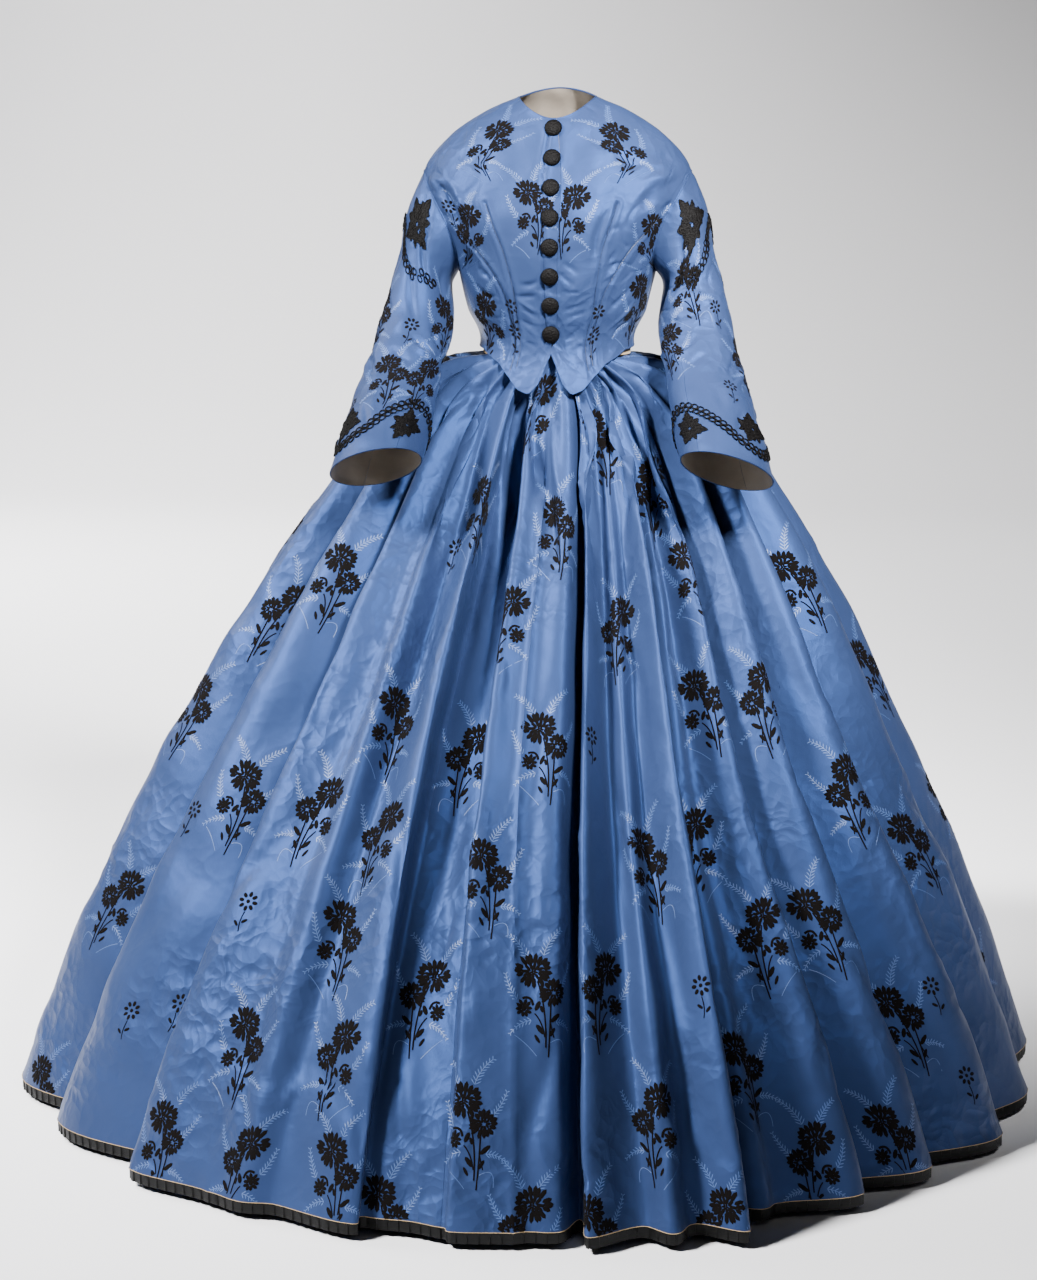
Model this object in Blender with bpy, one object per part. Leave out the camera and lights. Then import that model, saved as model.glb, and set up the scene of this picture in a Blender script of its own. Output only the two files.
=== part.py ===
"""A day dress of about 1860 in figured blue silk, in its worn shape: a pointed bodice with bell
coat sleeves over a wide pleated skirt. Metres, +Z up. The origin is on the axis of the body at
the waist. The dress faces -Y, so the wearer's left is +X.

Angles round the body are in degrees: 0 at the centre front, 90 at the wearer's left, 180 behind.
"""

import math
from collections import namedtuple

import bmesh
import bpy
import numpy as np

# Driving sizes
SKIRT_WALL = 0.0016
BODICE_WALL = 0.0020
SLEEVE_WALL = 0.0018
BRAID_THICK = 0.0013
SEAM_GAP = 0.0004
LAID_GAP = 0.0010
BUTTON_GAP = 0.0005
FACET_ALLOWANCE = 2.2
MITRE_LIMIT = 0.65

WAISTBAND_TOP = 0.013
WAISTBAND_BOTTOM = -0.009
WAISTBAND_WALL = 0.0020

BUTTONS = 8
BUTTON_RADIUS = 0.0112
BUTTON_HEIGHT = 0.0072
LOWEST_BUTTON = 0.018
BUTTON_SPACING = 0.0402
BUTTON_SIDES = 10
# A button's outline from its rim to its crown, as shares of its radius and height
BUTTON_PROFILE = ((1.0, 0.0), (1.0, 0.22), (0.86, 0.62), (0.50, 0.92))
LAP_EDGE_ANGLE = 4.2
SEAM_ANGLE = 90.0

SKIRT_WIDTHS = 8
BACK_FOLDS = 11
WAIST_PLEAT_DEPTH = 0.0025
PLEATING_WAVES = 112
PLEATING_DROP = 0.0155
PLEATING_WAVE_DEPTH = 0.0022
PLEATING_WALL = 0.0010
HEM_GAP = 0.0005
HEM_SAMPLES = 4001
WAISTBAND_COLUMNS = 24

# The skirt's outline without its folds. Drops are below the waist, and the rows are evenly
# spaced steps of the way down, 0 at the waistband and 1 at the hem.
Level = namedtuple("Level", "drop_front drop_side drop_back side front back shift")
SKIRT_LEVELS = (
    Level(0.0096, 0.0096, 0.0096, 0.1050, 0.0885, 0.0825, 0.000),
    Level(0.036, 0.0135, 0.014, 0.150, 0.0960, 0.115, 0.000),
    Level(0.062, 0.034, 0.034, 0.195, 0.1070, 0.165, 0.000),
    Level(0.110, 0.085, 0.085, 0.248, 0.132, 0.240, -0.002),
    Level(0.200, 0.190, 0.190, 0.318, 0.190, 0.335, -0.008),
    Level(0.320, 0.315, 0.315, 0.398, 0.278, 0.435, -0.016),
    Level(0.460, 0.455, 0.455, 0.470, 0.378, 0.525, -0.024),
    Level(0.610, 0.605, 0.605, 0.538, 0.482, 0.610, -0.030),
    Level(0.760, 0.755, 0.755, 0.604, 0.578, 0.690, -0.032),
    Level(0.910, 0.905, 0.905, 0.662, 0.655, 0.762, -0.033),
    Level(1.050, 1.050, 1.050, 0.714, 0.706, 0.815, -0.034),
)
SKIRT_ROWS = (0, 0.05, 0.1, 0.19, 0.3, 0.43, 0.6, 0.8, 1)

# One row for each fold of the front half, from the wearer's right to the left. The first three
# numbers are the angle of the valley on the fold's own right, at the hips, halfway and at the
# hem, and the next three are how deep that valley is there. Rise lifts the fold's ridge over the
# outline at the hem, flat broadens the ridge, and lean moves it over towards +X or -X, in halves
# of the fold's width. Sunk is how deep the ridge lies halfway down, where the neighbours hide it.
Fold = namedtuple("Fold", "hip mid hem deep_hip deep_mid deep_hem rise flat lean sunk")
FRONT_FOLDS = {
    "hip_right": Fold(-103, -100, -101, 0.018, 0.044, 0.050, 0.010, 2.6, -0.5, 0),
    "side_right": Fold(-80, -79, -84, 0.018, 0.046, 0.054, 0.040, 2.6, -0.3, 0),
    "outer_right": Fold(-56, -53, -61, 0.018, 0.054, 0.052, 0.014, 3.0, -0.75, 0),
    "inner_right": Fold(-40, -35.5, -42.5, 0.018, 0.050, 0.050, 0.012, 3.2, -0.75, 0),
    "merging_right": Fold(-30, -27, -31, 0.012, 0.014, 0.004, 0.000, 2.2, 0.0, 0),
    "bright_fold": Fold(-23.5, -20, -23, 0.016, 0.036, 0.016, 0.004, 2.6, 0.8, 0),
    "shadow_fold": Fold(-15, -13, -12.5, 0.020, 0.064, 0.026, -0.026, 2.2, 0.0, 0.046),
    "front_right": Fold(-9, -5, -4, 0.018, 0.058, 0.014, 0.000, 3.0, -0.5, 0),
    "front_left": Fold(-0.7, 1.5, 3.5, 0.014, 0.005, 0.003, -0.006, 3.0, 0.1, 0),
    "narrow_fold": Fold(11, 11.2, 10.5, 0.018, 0.050, 0.050, 0.014, 2.4, -0.8, 0),
    "broad_inner": Fold(16, 15.8, 17, 0.016, 0.036, 0.014, 0.020, 2.4, 0.0, 0.024),
    "broad_outer": Fold(20.5, 20.4, 22, 0.016, 0.034, 0.006, 0.040, 2.4, 0.6, 0),
    "shadow_left": Fold(26.5, 25.7, 27.5, 0.018, 0.058, 0.050, -0.022, 2.2, 0.2, 0.034),
    "inner_left": Fold(31, 31, 33, 0.016, 0.052, 0.032, 0.002, 2.8, 0.6, 0.016),
    "middle_left": Fold(38, 37.5, 43.5, 0.018, 0.056, 0.050, -0.002, 2.8, 0.6, 0),
    "outer_left": Fold(48, 47.5, 55, 0.018, 0.052, 0.046, 0.020, 2.8, 0.6, 0),
    "side_left": Fold(62, 60, 69, 0.018, 0.052, 0.044, 0.016, 2.8, 0.5, 0),
    "hip_left": Fold(82, 82, 86, 0.018, 0.048, 0.054, 0.036, 2.6, 0.3, 0),
}
LAST_FRONT_VALLEY = Fold(104, 104, 107, 0.018, 0.046, 0.052, 0.0, 2.6, 0.4, 0)
HIP_STEP, MID_STEP = 0.2, 0.5
# The step at which ridges start to rise, and the one from which the folds' depth turns level
RISE_STEP, LEVEL_STEP = 0.25, 0.8
# The steps between which a sunk ridge goes down, and those between which it comes up again
SUNK_STEPS = (0.08, 0.34, 0.62, 0.96)
# How far across a fold its columns of points are. A wide fold takes over 9 degrees at the hem.
WIDE_FOLD = 9.0
WIDE_FOLD_COLUMNS = (0, 0.14, 0.31, 0.5, 0.69, 0.86)
NARROW_FOLD_COLUMNS = (0, 0.22, 0.5, 0.78)
BACK_FOLD_COLUMNS = (0, 0.17, 0.38, 0.62, 0.83)
# Fold numbers at which one width of silk ends and the next begins, with the eighth at the wrap
SEAM_FOLDS = (0, 3, 7, 12, 16, 19, 22, 26)

# The body that the bodice is cut to: how wide it is at the side, and how deep in front and behind
Body = namedtuple("Body", "z_front z_side z_back side front back")
BODY_LEVELS = (
    Body(-0.075, -0.075, -0.075, 0.166, 0.1235, 0.118),
    Body(0.000, 0.000, 0.000, 0.111, 0.0960, 0.0865),
    Body(0.056, 0.054, 0.056, 0.1270, 0.1080, 0.0940),
    Body(0.098, 0.092, 0.098, 0.1365, 0.1175, 0.0990),
    Body(0.140, 0.130, 0.140, 0.1480, 0.1225, 0.1040),
    Body(0.180, 0.172, 0.180, 0.1720, 0.1195, 0.1080),
    Body(0.213, 0.215, 0.220, 0.1895, 0.1095, 0.1090),
    Body(0.243, 0.256, 0.260, 0.1850, 0.0970, 0.1050),
    Body(0.270, 0.297, 0.295, 0.1500, 0.0840, 0.0920),
    Body(0.295, 0.329, 0.330, 0.1020, 0.0720, 0.0740),
    Body(0.3185, 0.3490, 0.362, 0.0550, 0.0600, 0.0500),
)
# The bodice's lower edge: a notch at the centre front, two points and a short back
Edge = namedtuple("Edge", "angle z")
LOWER_EDGE = (
    Edge(0, -0.002),
    Edge(4, -0.020),
    Edge(7.5, -0.045),
    Edge(11.5, -0.058),
    Edge(18, -0.052),
    Edge(26, -0.036),
    Edge(38, -0.018),
    Edge(64, 0.000),
    Edge(97, 0.004),
    Edge(130, 0.001),
    Edge(180, -0.003),
)
# Shares of a panel's side edge at which its armhole starts and ends
UNDERARM, SHOULDER = 0.34, 0.80
ARMHOLE_ANGLE = 90.0
ARMHOLE_HALF_ANGLE = 29.0
ARMHOLE_STEP = 0.51
ARMHOLE_HALF_STEP = 0.17
LOWER_ROWS, ARMHOLE_ROWS, SHOULDER_ROWS = 7, 10, 3
FRONT_COLUMNS, HALF_BACK_COLUMNS = 10, 7
# How far up the centre line a panel's rows lie beside its armhole's start and end
CENTRE_UNDERARM, CENTRE_SHOULDER = 0.36, 0.76
# Powers that draw a front's columns to its centre, and that fade its lower edge's shape upwards
COLUMN_POWER, EDGE_FADE = 1.25, 2.5
# The height of the notch, and over how much height above it the lap reaches its full width
NOTCH_HEIGHT, LAP_RISE = 0.002, 0.03
BODY_SAMPLES = 401
SLEEVE_HEAD_GAP = 0.0009

# Rings down the sleeve of the wearer's left arm: its outermost and innermost points, the middle's
# y, half its depth and how far its front is tipped up. The first ring is the armhole itself.
Ring = namedtuple("Ring", "outer_x outer_z inner_x inner_z y half_depth tip")
SLEEVE_RINGS = (
    Ring(0.2095, 0.200, 0.1500, 0.088, -0.006, 0.060, -3),
    Ring(0.2225, 0.140, 0.1465, 0.060, -0.020, 0.058, -6),
    Ring(0.2375, 0.078, 0.1445, 0.035, -0.040, 0.056, 0),
    Ring(0.2520, 0.020, 0.1480, 0.008, -0.066, 0.056, 10),
    Ring(0.2670, -0.035, 0.1560, -0.025, -0.104, 0.055, 20),
    Ring(0.2800, -0.080, 0.1620, -0.068, -0.145, 0.058, 27),
    Ring(0.2920, -0.122, 0.1685, -0.105, -0.182, 0.065, 28),
    Ring(0.3030, -0.165, 0.1760, -0.137, -0.214, 0.072, 25),
)
SLEEVE_SPREAD = {1: 0.010, -1: -0.010}
FRONT_SLEEVE_SEAM = 125.0
BACK_SLEEVE_SEAM = -65.0
SLEEVE_ROWS = (0, 0.05, 0.1, 0.16, 0.24, 0.34, 0.45, 0.55, 0.66, 0.78, 0.89, 1.0)
UPPER_COLUMNS, UNDER_COLUMNS = 12, 11

CUFF_CHAIN_WAVES = 2
CUFF_CHAIN_PEAK = 131.0
CUFF_CHAIN_LOW, CUFF_CHAIN_HIGH = 0.025, 0.082
CAP_CHAIN_TOP, CAP_CHAIN_SAG = 0.073, 0.036
CAP_STAR_LENGTH = 0.045
CAP_STAR_ANGLES = (61.0, -50.0)
SWAG_REACH = 54.0
CHAIN_WIDTH = 0.0135
CUFF_CHAIN_COLUMNS, CAP_CHAIN_COLUMNS = 45, 37
STAR_LEAVES = 5
# How far out a star's rim lies at a leaf's tip, its shoulder, the notch and the next shoulder
LEAF_OUTLINE = (1.0, 0.80, 0.46, 0.80)
# How far along the sleeve a cuff star lies from the chain's peak above it or low below it
CUFF_STAR_OFFSET = 0.040
LENGTH_SAMPLES = 61
CUFF_STAR_RADIUS = 0.0215
CAP_STAR_RADIUS = 0.0280
# How far out each ring of a star's points lies, as a share of its radius
CUFF_STAR_SHARES = (0.5, 1.0)
CAP_STAR_SHARES = (0.34, 0.68, 1.0)


def linear(value):
    return value / 12.92 if value <= 0.04045 else ((value + 0.055) / 1.055) ** 2.4


def finish(name, colour, roughness):
    """One cloth or braid finish, from an sRGB hex colour."""
    material = bpy.data.materials.new(name)
    material.use_nodes = True
    shader = material.node_tree.nodes["Principled BSDF"]
    parts = [linear(int(colour[i : i + 2], 16) / 255) for i in (0, 2, 4)]
    shader.inputs["Base Color"].default_value = (*parts, 1)
    shader.inputs["Roughness"].default_value = roughness
    shader.inputs["Metallic"].default_value = 0
    return material


def clear_scene():
    for thing in list(bpy.data.objects):
        bpy.data.objects.remove(thing)


def smooth(x):
    x = np.clip(x, 0, 1)
    return x * x * (3 - 2 * x)


def along(rows, step):
    """The rows of a table, read on a smooth curve at a step from 0 to 1 (Catmull-Rom)."""
    rows = np.asarray(rows, float)
    ends = np.concatenate([[2 * rows[0] - rows[1]], rows, [2 * rows[-1] - rows[-2]]])
    place = np.asarray(step, float) * (len(rows) - 1)
    k = np.clip(place.astype(int), 0, len(rows) - 2)
    x = (place - k).reshape(place.shape + (1,) * (rows.ndim - 1))
    p0, p1, p2, p3 = (ends[k + i] for i in range(4))
    return p1 + 0.5 * x * (
        p2 - p0 + x * (2 * p0 - 5 * p1 + 4 * p2 - p3 + x * (3 * (p1 - p2) + p3 - p0))
    )


def unit(vectors):
    return vectors / np.linalg.norm(vectors, axis=-1, keepdims=True)


def dot(a, b):
    return np.sum(a * b, axis=-1)


def normals_of(surface, u, v, du, dv):
    """Outward normals of a surface, by small steps anticlockwise in u and upwards in v."""
    across = surface(u + du, v) - surface(u - du, v)
    up = surface(u, v + dv) - surface(u, v - dv)
    return unit(np.cross(across, up))


def facet_normals(points, closed):
    """Outward normals of a grid's points, from the facets beside them, and how much further the
    inner side of a wall lies at each to keep its thickness. Rows run down, and columns run
    anticlockwise seen from above."""
    if closed:
        ahead, behind = np.roll(points, -1, axis=1) - points, points - np.roll(points, 1, axis=1)
    else:
        ahead = np.concatenate([np.diff(points, axis=1), points[:, -1:] - points[:, -2:-1]], axis=1)
        behind = np.concatenate([points[:, 1:2] - points[:, :1], np.diff(points, axis=1)], axis=1)
    up = -np.gradient(points, axis=0)
    one_side = unit(np.cross(ahead, up))
    out = unit(one_side + unit(np.cross(behind, up)))
    mitre = 1 / np.maximum(np.sum(out * one_side, axis=-1, keepdims=True), MITRE_LIMIT)
    return out, mitre


def moved_in(points, thickness, closed):
    out, mitre = facet_normals(points, closed)
    return points - thickness * mitre * out


def mesh_object(name, points, faces, material, smooth_angle=40):
    mesh = bpy.data.meshes.new(name)
    mesh.from_pydata([tuple(p) for p in points], [], faces)
    mesh.materials.append(material)
    mesh.shade_smooth()
    mesh.set_sharp_from_angle(angle=math.radians(smooth_angle))
    thing = bpy.data.objects.new(name, mesh)
    bpy.context.scene.collection.objects.link(thing)
    return thing


def wall(name, outer, inner, material, closed=False):
    """A closed wall between two grids of points, rows by columns. The outer grid's faces look
    out where its columns run anticlockwise seen from above and its rows run down. Both sides of
    the wall are split along the same diagonals, so that they can't cross."""
    rows, columns = outer.shape[:2]
    points = np.concatenate([outer.reshape(-1, 3), inner.reshape(-1, 3)])
    back = rows * columns
    faces = []
    last = columns if closed else columns - 1

    def at(i, j):
        return i * columns + j % columns

    for i in range(rows - 1):
        for j in range(last):
            a, b, c, d = at(i, j), at(i + 1, j), at(i + 1, j + 1), at(i, j + 1)
            falling = np.linalg.norm(points[a] - points[c]) < np.linalg.norm(points[b] - points[d])
            for ring in ([a, b, c], [a, c, d]) if falling else ([a, b, d], [b, c, d]):
                faces.append(ring)
                faces.append([back + k for k in reversed(ring)])
    for j in range(last):
        faces.append([at(0, j + 1), back + at(0, j + 1), back + at(0, j), at(0, j)])
        low = rows - 1
        faces.append([at(low, j), back + at(low, j), back + at(low, j + 1), at(low, j + 1)])
    for i in range(0 if closed else rows - 1):
        high, low = at(i, 0), at(i + 1, 0)
        faces += [[high, back + high, back + low], [high, back + low, low]]
        high, low = at(i, columns - 1), at(i + 1, columns - 1)
        faces += [[high, back + low, back + high], [high, low, back + low]]
    return mesh_object(name, points, faces, material)


# The skirt


def skirt_outline(angle, step):
    """A point of the skirt's outline, for angles in degrees and steps down it."""
    level = np.moveaxis(along(SKIRT_LEVELS, step), -1, 0)
    c, s = np.cos(np.radians(angle)), np.sin(np.radians(angle))
    in_front = c > 0
    depth = np.where(in_front, level[4], level[5])
    drop = np.where(in_front, level[0], level[2]) * c * c + level[1] * s * s
    return np.stack([level[3] * s + level[6], -depth * c, -drop], -1)


def all_folds():
    """Every fold right round, the front ones from the table and the back ones by rule."""
    folds = list(FRONT_FOLDS.values())
    first, last = folds[0], LAST_FRONT_VALLEY
    for k in range(BACK_FOLDS):
        share = k / BACK_FOLDS
        wave = math.sin(2.3 * k + 0.6)
        folds.append(
            Fold(
                last.hip + share * (first.hip + 360 - last.hip),
                last.mid + share * (first.mid + 360 - last.mid) + 1.5 * wave,
                last.hem + share * (first.hem + 360 - last.hem) + 2.0 * wave,
                0.018,
                0.048 + 0.006 * wave,
                0.052 + 0.008 * wave,
                0.012 + 0.008 * math.cos(1.7 * k),
                2.8,
                0.60 * math.copysign(1, math.cos(1.1 * k + 0.4)),
                0,
            )
        )
    return folds


FOLDS = all_folds()
FOLD_COUNT = len(FOLDS)


def valley_table():
    rows = [list(fold[:6]) for fold in FOLDS]
    wrapped = [FOLDS[0].hip + 360, FOLDS[0].mid + 360, FOLDS[0].hem + 360]
    rows.append(wrapped + list(FOLDS[0][3:6]))
    return np.array(rows)


VALLEYS = valley_table()
RIDGES = np.array([fold[6:] for fold in FOLDS])


def by_height(step, hip, mid, hem):
    first = smooth((step - HIP_STEP) / (MID_STEP - HIP_STEP))
    second = smooth((step - MID_STEP) / (1 - MID_STEP))
    return hip + (mid - hip) * first + (hem - mid) * second


def skirt_surface(u, step):
    """A point of the folded silk. The whole part of u is the fold, and the rest is how far
    across that fold the point is."""
    u, step = np.broadcast_arrays(np.asarray(u, float), np.asarray(step, float))
    k = np.floor(u).astype(int)
    turn = k // FOLD_COUNT
    share = u - k
    k = k % FOLD_COUNT
    left, right = VALLEYS[k], VALLEYS[k + 1]
    rise, flat, lean, sunk = RIDGES[k].T if k.ndim == 1 else np.moveaxis(RIDGES[k], -1, 0)
    ends = [by_height(step, *np.moveaxis(side[..., :3], -1, 0)) for side in (left, right)]
    deeps = [by_height(step, *np.moveaxis(side[..., 3:], -1, 0)) for side in (left, right)]
    near_waist = np.clip(step / HIP_STEP, 0, 1)
    crest = 1 - np.abs(np.cos(math.pi * share)) ** flat
    deep = deeps[0] + (deeps[1] - deeps[0]) * share
    deep = WAIST_PLEAT_DEPTH + (deep - WAIST_PLEAT_DEPTH) * near_waist
    lift = rise * smooth((step - RISE_STEP) / (1 - RISE_STEP))
    start, full, waning, end = SUNK_STEPS
    held = smooth((step - start) / (full - start)) * smooth((end - step) / (end - waning))
    lift = lift - sunk * held
    half = 0.5 * (ends[1] - ends[0])
    angle = ends[0] + 2 * half * share + lean * half * crest * near_waist + 360 * turn
    out = normals_of(skirt_outline, angle, step, 0.5, -0.002)
    out[..., 2] *= 1 - smooth((step - LEVEL_STEP) / (1 - LEVEL_STEP))
    return skirt_outline(angle, step) + out * (lift * crest - deep * (1 - crest))[..., None]


def fold_columns(first, last):
    """Where the columns of points lie across the folds from one seam to the next."""
    columns = []
    for k in range(first, last):
        wide = VALLEYS[k + 1][2] - VALLEYS[k][2] > WIDE_FOLD
        if k >= len(FRONT_FOLDS):
            shares = BACK_FOLD_COLUMNS
        else:
            shares = WIDE_FOLD_COLUMNS if wide else NARROW_FOLD_COLUMNS
        columns += [k + share for share in shares]
    return np.array(columns + [last], float)


def pulled_back(points, gap):
    """The two end columns moved in along the rows, to leave a seam's gap."""
    for end, beside in ((0, 1), (-1, -2)):
        points[:, end] += gap / 2 * unit(points[:, beside] - points[:, end])
    return points


def seams():
    return [*SEAM_FOLDS, FOLD_COUNT]


def build_skirt(silk):
    """The widths of silk, cut from one ring of points so that both sides of a seam agree."""
    parts = [fold_columns(first, last)[:-1] for first, last in zip(seams()[:-1], seams()[1:])]
    u = np.concatenate(parts)
    outer = skirt_surface(u[None, :], np.array(SKIRT_ROWS)[:, None])
    out, mitre = facet_normals(outer, True)
    out[-1, :, 2] = 0
    inner = outer - SKIRT_WALL * mitre * unit(out)
    ends = np.cumsum([0] + [len(part) for part in parts])
    for n in range(SKIRT_WIDTHS):
        columns = np.arange(ends[n], ends[n + 1] + 1) % len(u)
        wall(
            f"skirt_width_{n + 1}",
            pulled_back(outer[:, columns], SEAM_GAP),
            pulled_back(inner[:, columns], SEAM_GAP),
            silk,
        )


def hem_line(count):
    """Points evenly spaced along the hem, as values of u."""
    fine = np.linspace(0, FOLD_COUNT, HEM_SAMPLES)
    points = skirt_surface(fine, 1.0)
    length = np.concatenate([[0], np.cumsum(np.linalg.norm(np.diff(points, axis=0), axis=1))])
    return np.interp(np.linspace(0, length[-1], count, endpoint=False), length, fine)


def pleating_marks():
    """The ends of the edging's waves as values of u, with one at every seam of the skirt."""
    marks = hem_line(2 * PLEATING_WAVES)
    for seam in SEAM_FOLDS:
        marks[np.argmin(np.abs(marks - seam))] = seam
    return np.sort(marks)


def build_hem_pleating(braid):
    """The narrow pleated black edging that hangs from the hem, an arc under each width."""
    marks = pleating_marks()
    top = skirt_surface(marks, 1.0) - [0, 0, HEM_GAP]
    outer = np.stack([top, top - [0, 0, PLEATING_DROP]])
    fold_in = SKIRT_WALL / 4 + PLEATING_WAVE_DEPTH * (np.arange(len(marks)) % 2)
    outer = moved_in(outer, fold_in[None, :, None], True)
    inner = moved_in(outer, PLEATING_WALL, True)
    for n in range(SKIRT_WIDTHS):
        first = int(np.argmin(np.abs(marks - seams()[n])))
        last = int(np.argmin(np.abs(np.append(marks, FOLD_COUNT) - seams()[n + 1])))
        columns = np.arange(first, last + 1) % len(marks)
        wall(
            f"hem_pleating_{n + 1}",
            pulled_back(outer[:, columns], SEAM_GAP),
            pulled_back(inner[:, columns], SEAM_GAP),
            braid,
        )


def build_waistband(tape):
    """The band that the skirt is pleated into, which shows under the bodice's edge."""
    angle = np.linspace(0, 2 * math.pi, WAISTBAND_COLUMNS, endpoint=False)
    level = SKIRT_LEVELS[0]
    grids = []
    for inset in (0, WAISTBAND_WALL):
        depth = np.where(np.cos(angle) > 0, level.front, level.back) - inset
        x, y = (level.side - inset) * np.sin(angle), -depth * np.cos(angle)
        edges = [np.full_like(x, z) for z in (WAISTBAND_TOP, WAISTBAND_BOTTOM)]
        grids.append(np.stack([np.stack([x, y, z], -1) for z in edges]))
    wall("waistband", grids[0], grids[1], tape, closed=True)


# The bodice


def body(angle, step):
    """A point of the body's surface, for angles in degrees and steps up it."""
    level = np.moveaxis(along(BODY_LEVELS, step), -1, 0)
    c, s = np.cos(np.radians(angle)), np.sin(np.radians(angle))
    depth = np.where(c > 0, level[4], level[5])
    z = np.where(c > 0, level[0], level[2]) * c * c + level[1] * s * s
    return np.stack([level[3] * s, -depth * c, z], -1)


def step_at(angle, z):
    """The step at which the body has this height, at this angle."""
    steps = np.linspace(0, 1, BODY_SAMPLES)
    heights = body(np.full(BODY_SAMPLES, float(angle)), steps)[:, 2]
    return float(np.interp(z, heights, steps))


def lower_edge(angle):
    edge = np.array(LOWER_EDGE)
    z = np.interp(abs(angle), edge[:, 0], edge[:, 1])
    return step_at(angle, z)


def armhole(turn):
    """The armhole's edge as an angle and a step: turn 0 at its top, 90 in front, 180 below."""
    angle = ARMHOLE_ANGLE - ARMHOLE_HALF_ANGLE * np.sin(np.radians(turn))
    step = ARMHOLE_STEP + ARMHOLE_HALF_STEP * np.cos(np.radians(turn))
    return angle, step


def panel_side(v, in_front):
    """The edge of a panel away from the body's centre: side seam, armhole, shoulder seam."""
    meet = math.degrees(math.asin((ARMHOLE_ANGLE - SEAM_ANGLE) / ARMHOLE_HALF_ANGLE))
    under, over = 180 - meet, (meet if in_front else 360 + meet)
    if v <= UNDERARM:
        start = lower_edge(SEAM_ANGLE)
        return SEAM_ANGLE, start + (armhole(under)[1] - start) * v / UNDERARM
    if v < SHOULDER:
        angle, step = armhole(under + (over - under) * (v - UNDERARM) / (SHOULDER - UNDERARM))
        return float(angle), float(step)
    start = float(armhole(over)[1])
    return SEAM_ANGLE, start + (1 - start) * (v - SHOULDER) / (1 - SHOULDER)


def centre_step(v, low):
    """How far up the centre line of a panel is, to suit the armhole beside it."""
    heights = (low, CENTRE_UNDERARM, CENTRE_SHOULDER, 1)
    return float(np.interp(v, (0, UNDERARM, SHOULDER, 1), heights))


def panel_rows():
    """The share of the way up a panel of each of its rows, close together by the armhole."""
    below = np.linspace(0, UNDERARM, LOWER_ROWS + 1)
    beside = np.linspace(UNDERARM, SHOULDER, ARMHOLE_ROWS + 1)
    above = np.linspace(SHOULDER, 1, SHOULDER_ROWS + 1)
    return [*below[:-1], *beside, *above[1:]]


def lap_angle(step):
    """The lapped front's edge, which comes back to the centre at the notch."""
    z = float(body(np.array(0.0), np.array(step))[2])
    return LAP_EDGE_ANGLE * float(smooth((z - NOTCH_HEIGHT) / LAP_RISE))


def panel(columns, side, centre, in_front):
    """The angles and steps of a bodice panel's points, on one side of the body."""
    rows = panel_rows()
    grid = np.zeros((len(rows), columns, 2))
    for i, v in enumerate(rows):
        end_angle, end_step = panel_side(v, in_front)
        step = centre_step(v, lower_edge(centre))
        start_angle = side * lap_angle(step) if in_front else centre
        for j in range(columns):
            u = (j / (columns - 1)) ** (COLUMN_POWER if in_front else 1)
            angle = start_angle + (end_angle - start_angle) * u
            plain = lower_edge(centre) + (lower_edge(SEAM_ANGLE) - lower_edge(centre)) * u
            bottom = lower_edge(max(angle, 0)) - plain
            grid[i, j] = angle, step + (end_step - step) * u + bottom * (1 - v) ** EDGE_FADE
    return grid


def pulled_in(points, gap):
    """A panel's four edges moved in, to leave a seam's gap."""
    points = pulled_back(points, gap)
    return np.swapaxes(pulled_back(np.swapaxes(points, 0, 1).copy(), gap), 0, 1)


def panel_wall(name, grid, silk):
    """A bodice panel's wall, from the angles and steps of its points, rows running down and
    columns anticlockwise seen from above."""
    outer = body(grid[..., 0], grid[..., 1])
    inner = outer - BODICE_WALL * normals_of(body, grid[..., 0], grid[..., 1], 0.5, 0.004)
    wall(name, pulled_in(outer, SEAM_GAP), pulled_in(inner, SEAM_GAP), silk)


def build_bodice(silk):
    """Two fronts that meet at the lapped edge, and a back cut in one."""
    for name, side in (("bodice_front_left", 1), ("bodice_front_right", -1)):
        grid = panel(FRONT_COLUMNS, side, 0.0, True)[::-1]
        if side < 0:
            grid = grid[:, ::-1].copy()
            grid[..., 0] *= -1
        panel_wall(name, grid, silk)
    half = panel(HALF_BACK_COLUMNS, 1, 180.0, False)[::-1]
    other = half.copy()
    other[..., 0] = 360 - other[..., 0]
    panel_wall("bodice_back", np.concatenate([half[:, ::-1], other[:, 1:]], axis=1), silk)


def hollow_under(base, out, step, radius):
    """How far the cloth, with its flat facets, rises towards a disc of this radius on it."""
    angle, steps = np.meshgrid(np.linspace(-7, 7, 15), step + np.linspace(-0.04, 0.04, 15))
    around = body(angle, steps).reshape(-1, 3) - base
    near = np.linalg.norm(around, axis=1) < radius
    return FACET_ALLOWANCE * float(np.max(around[near] @ out))


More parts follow.
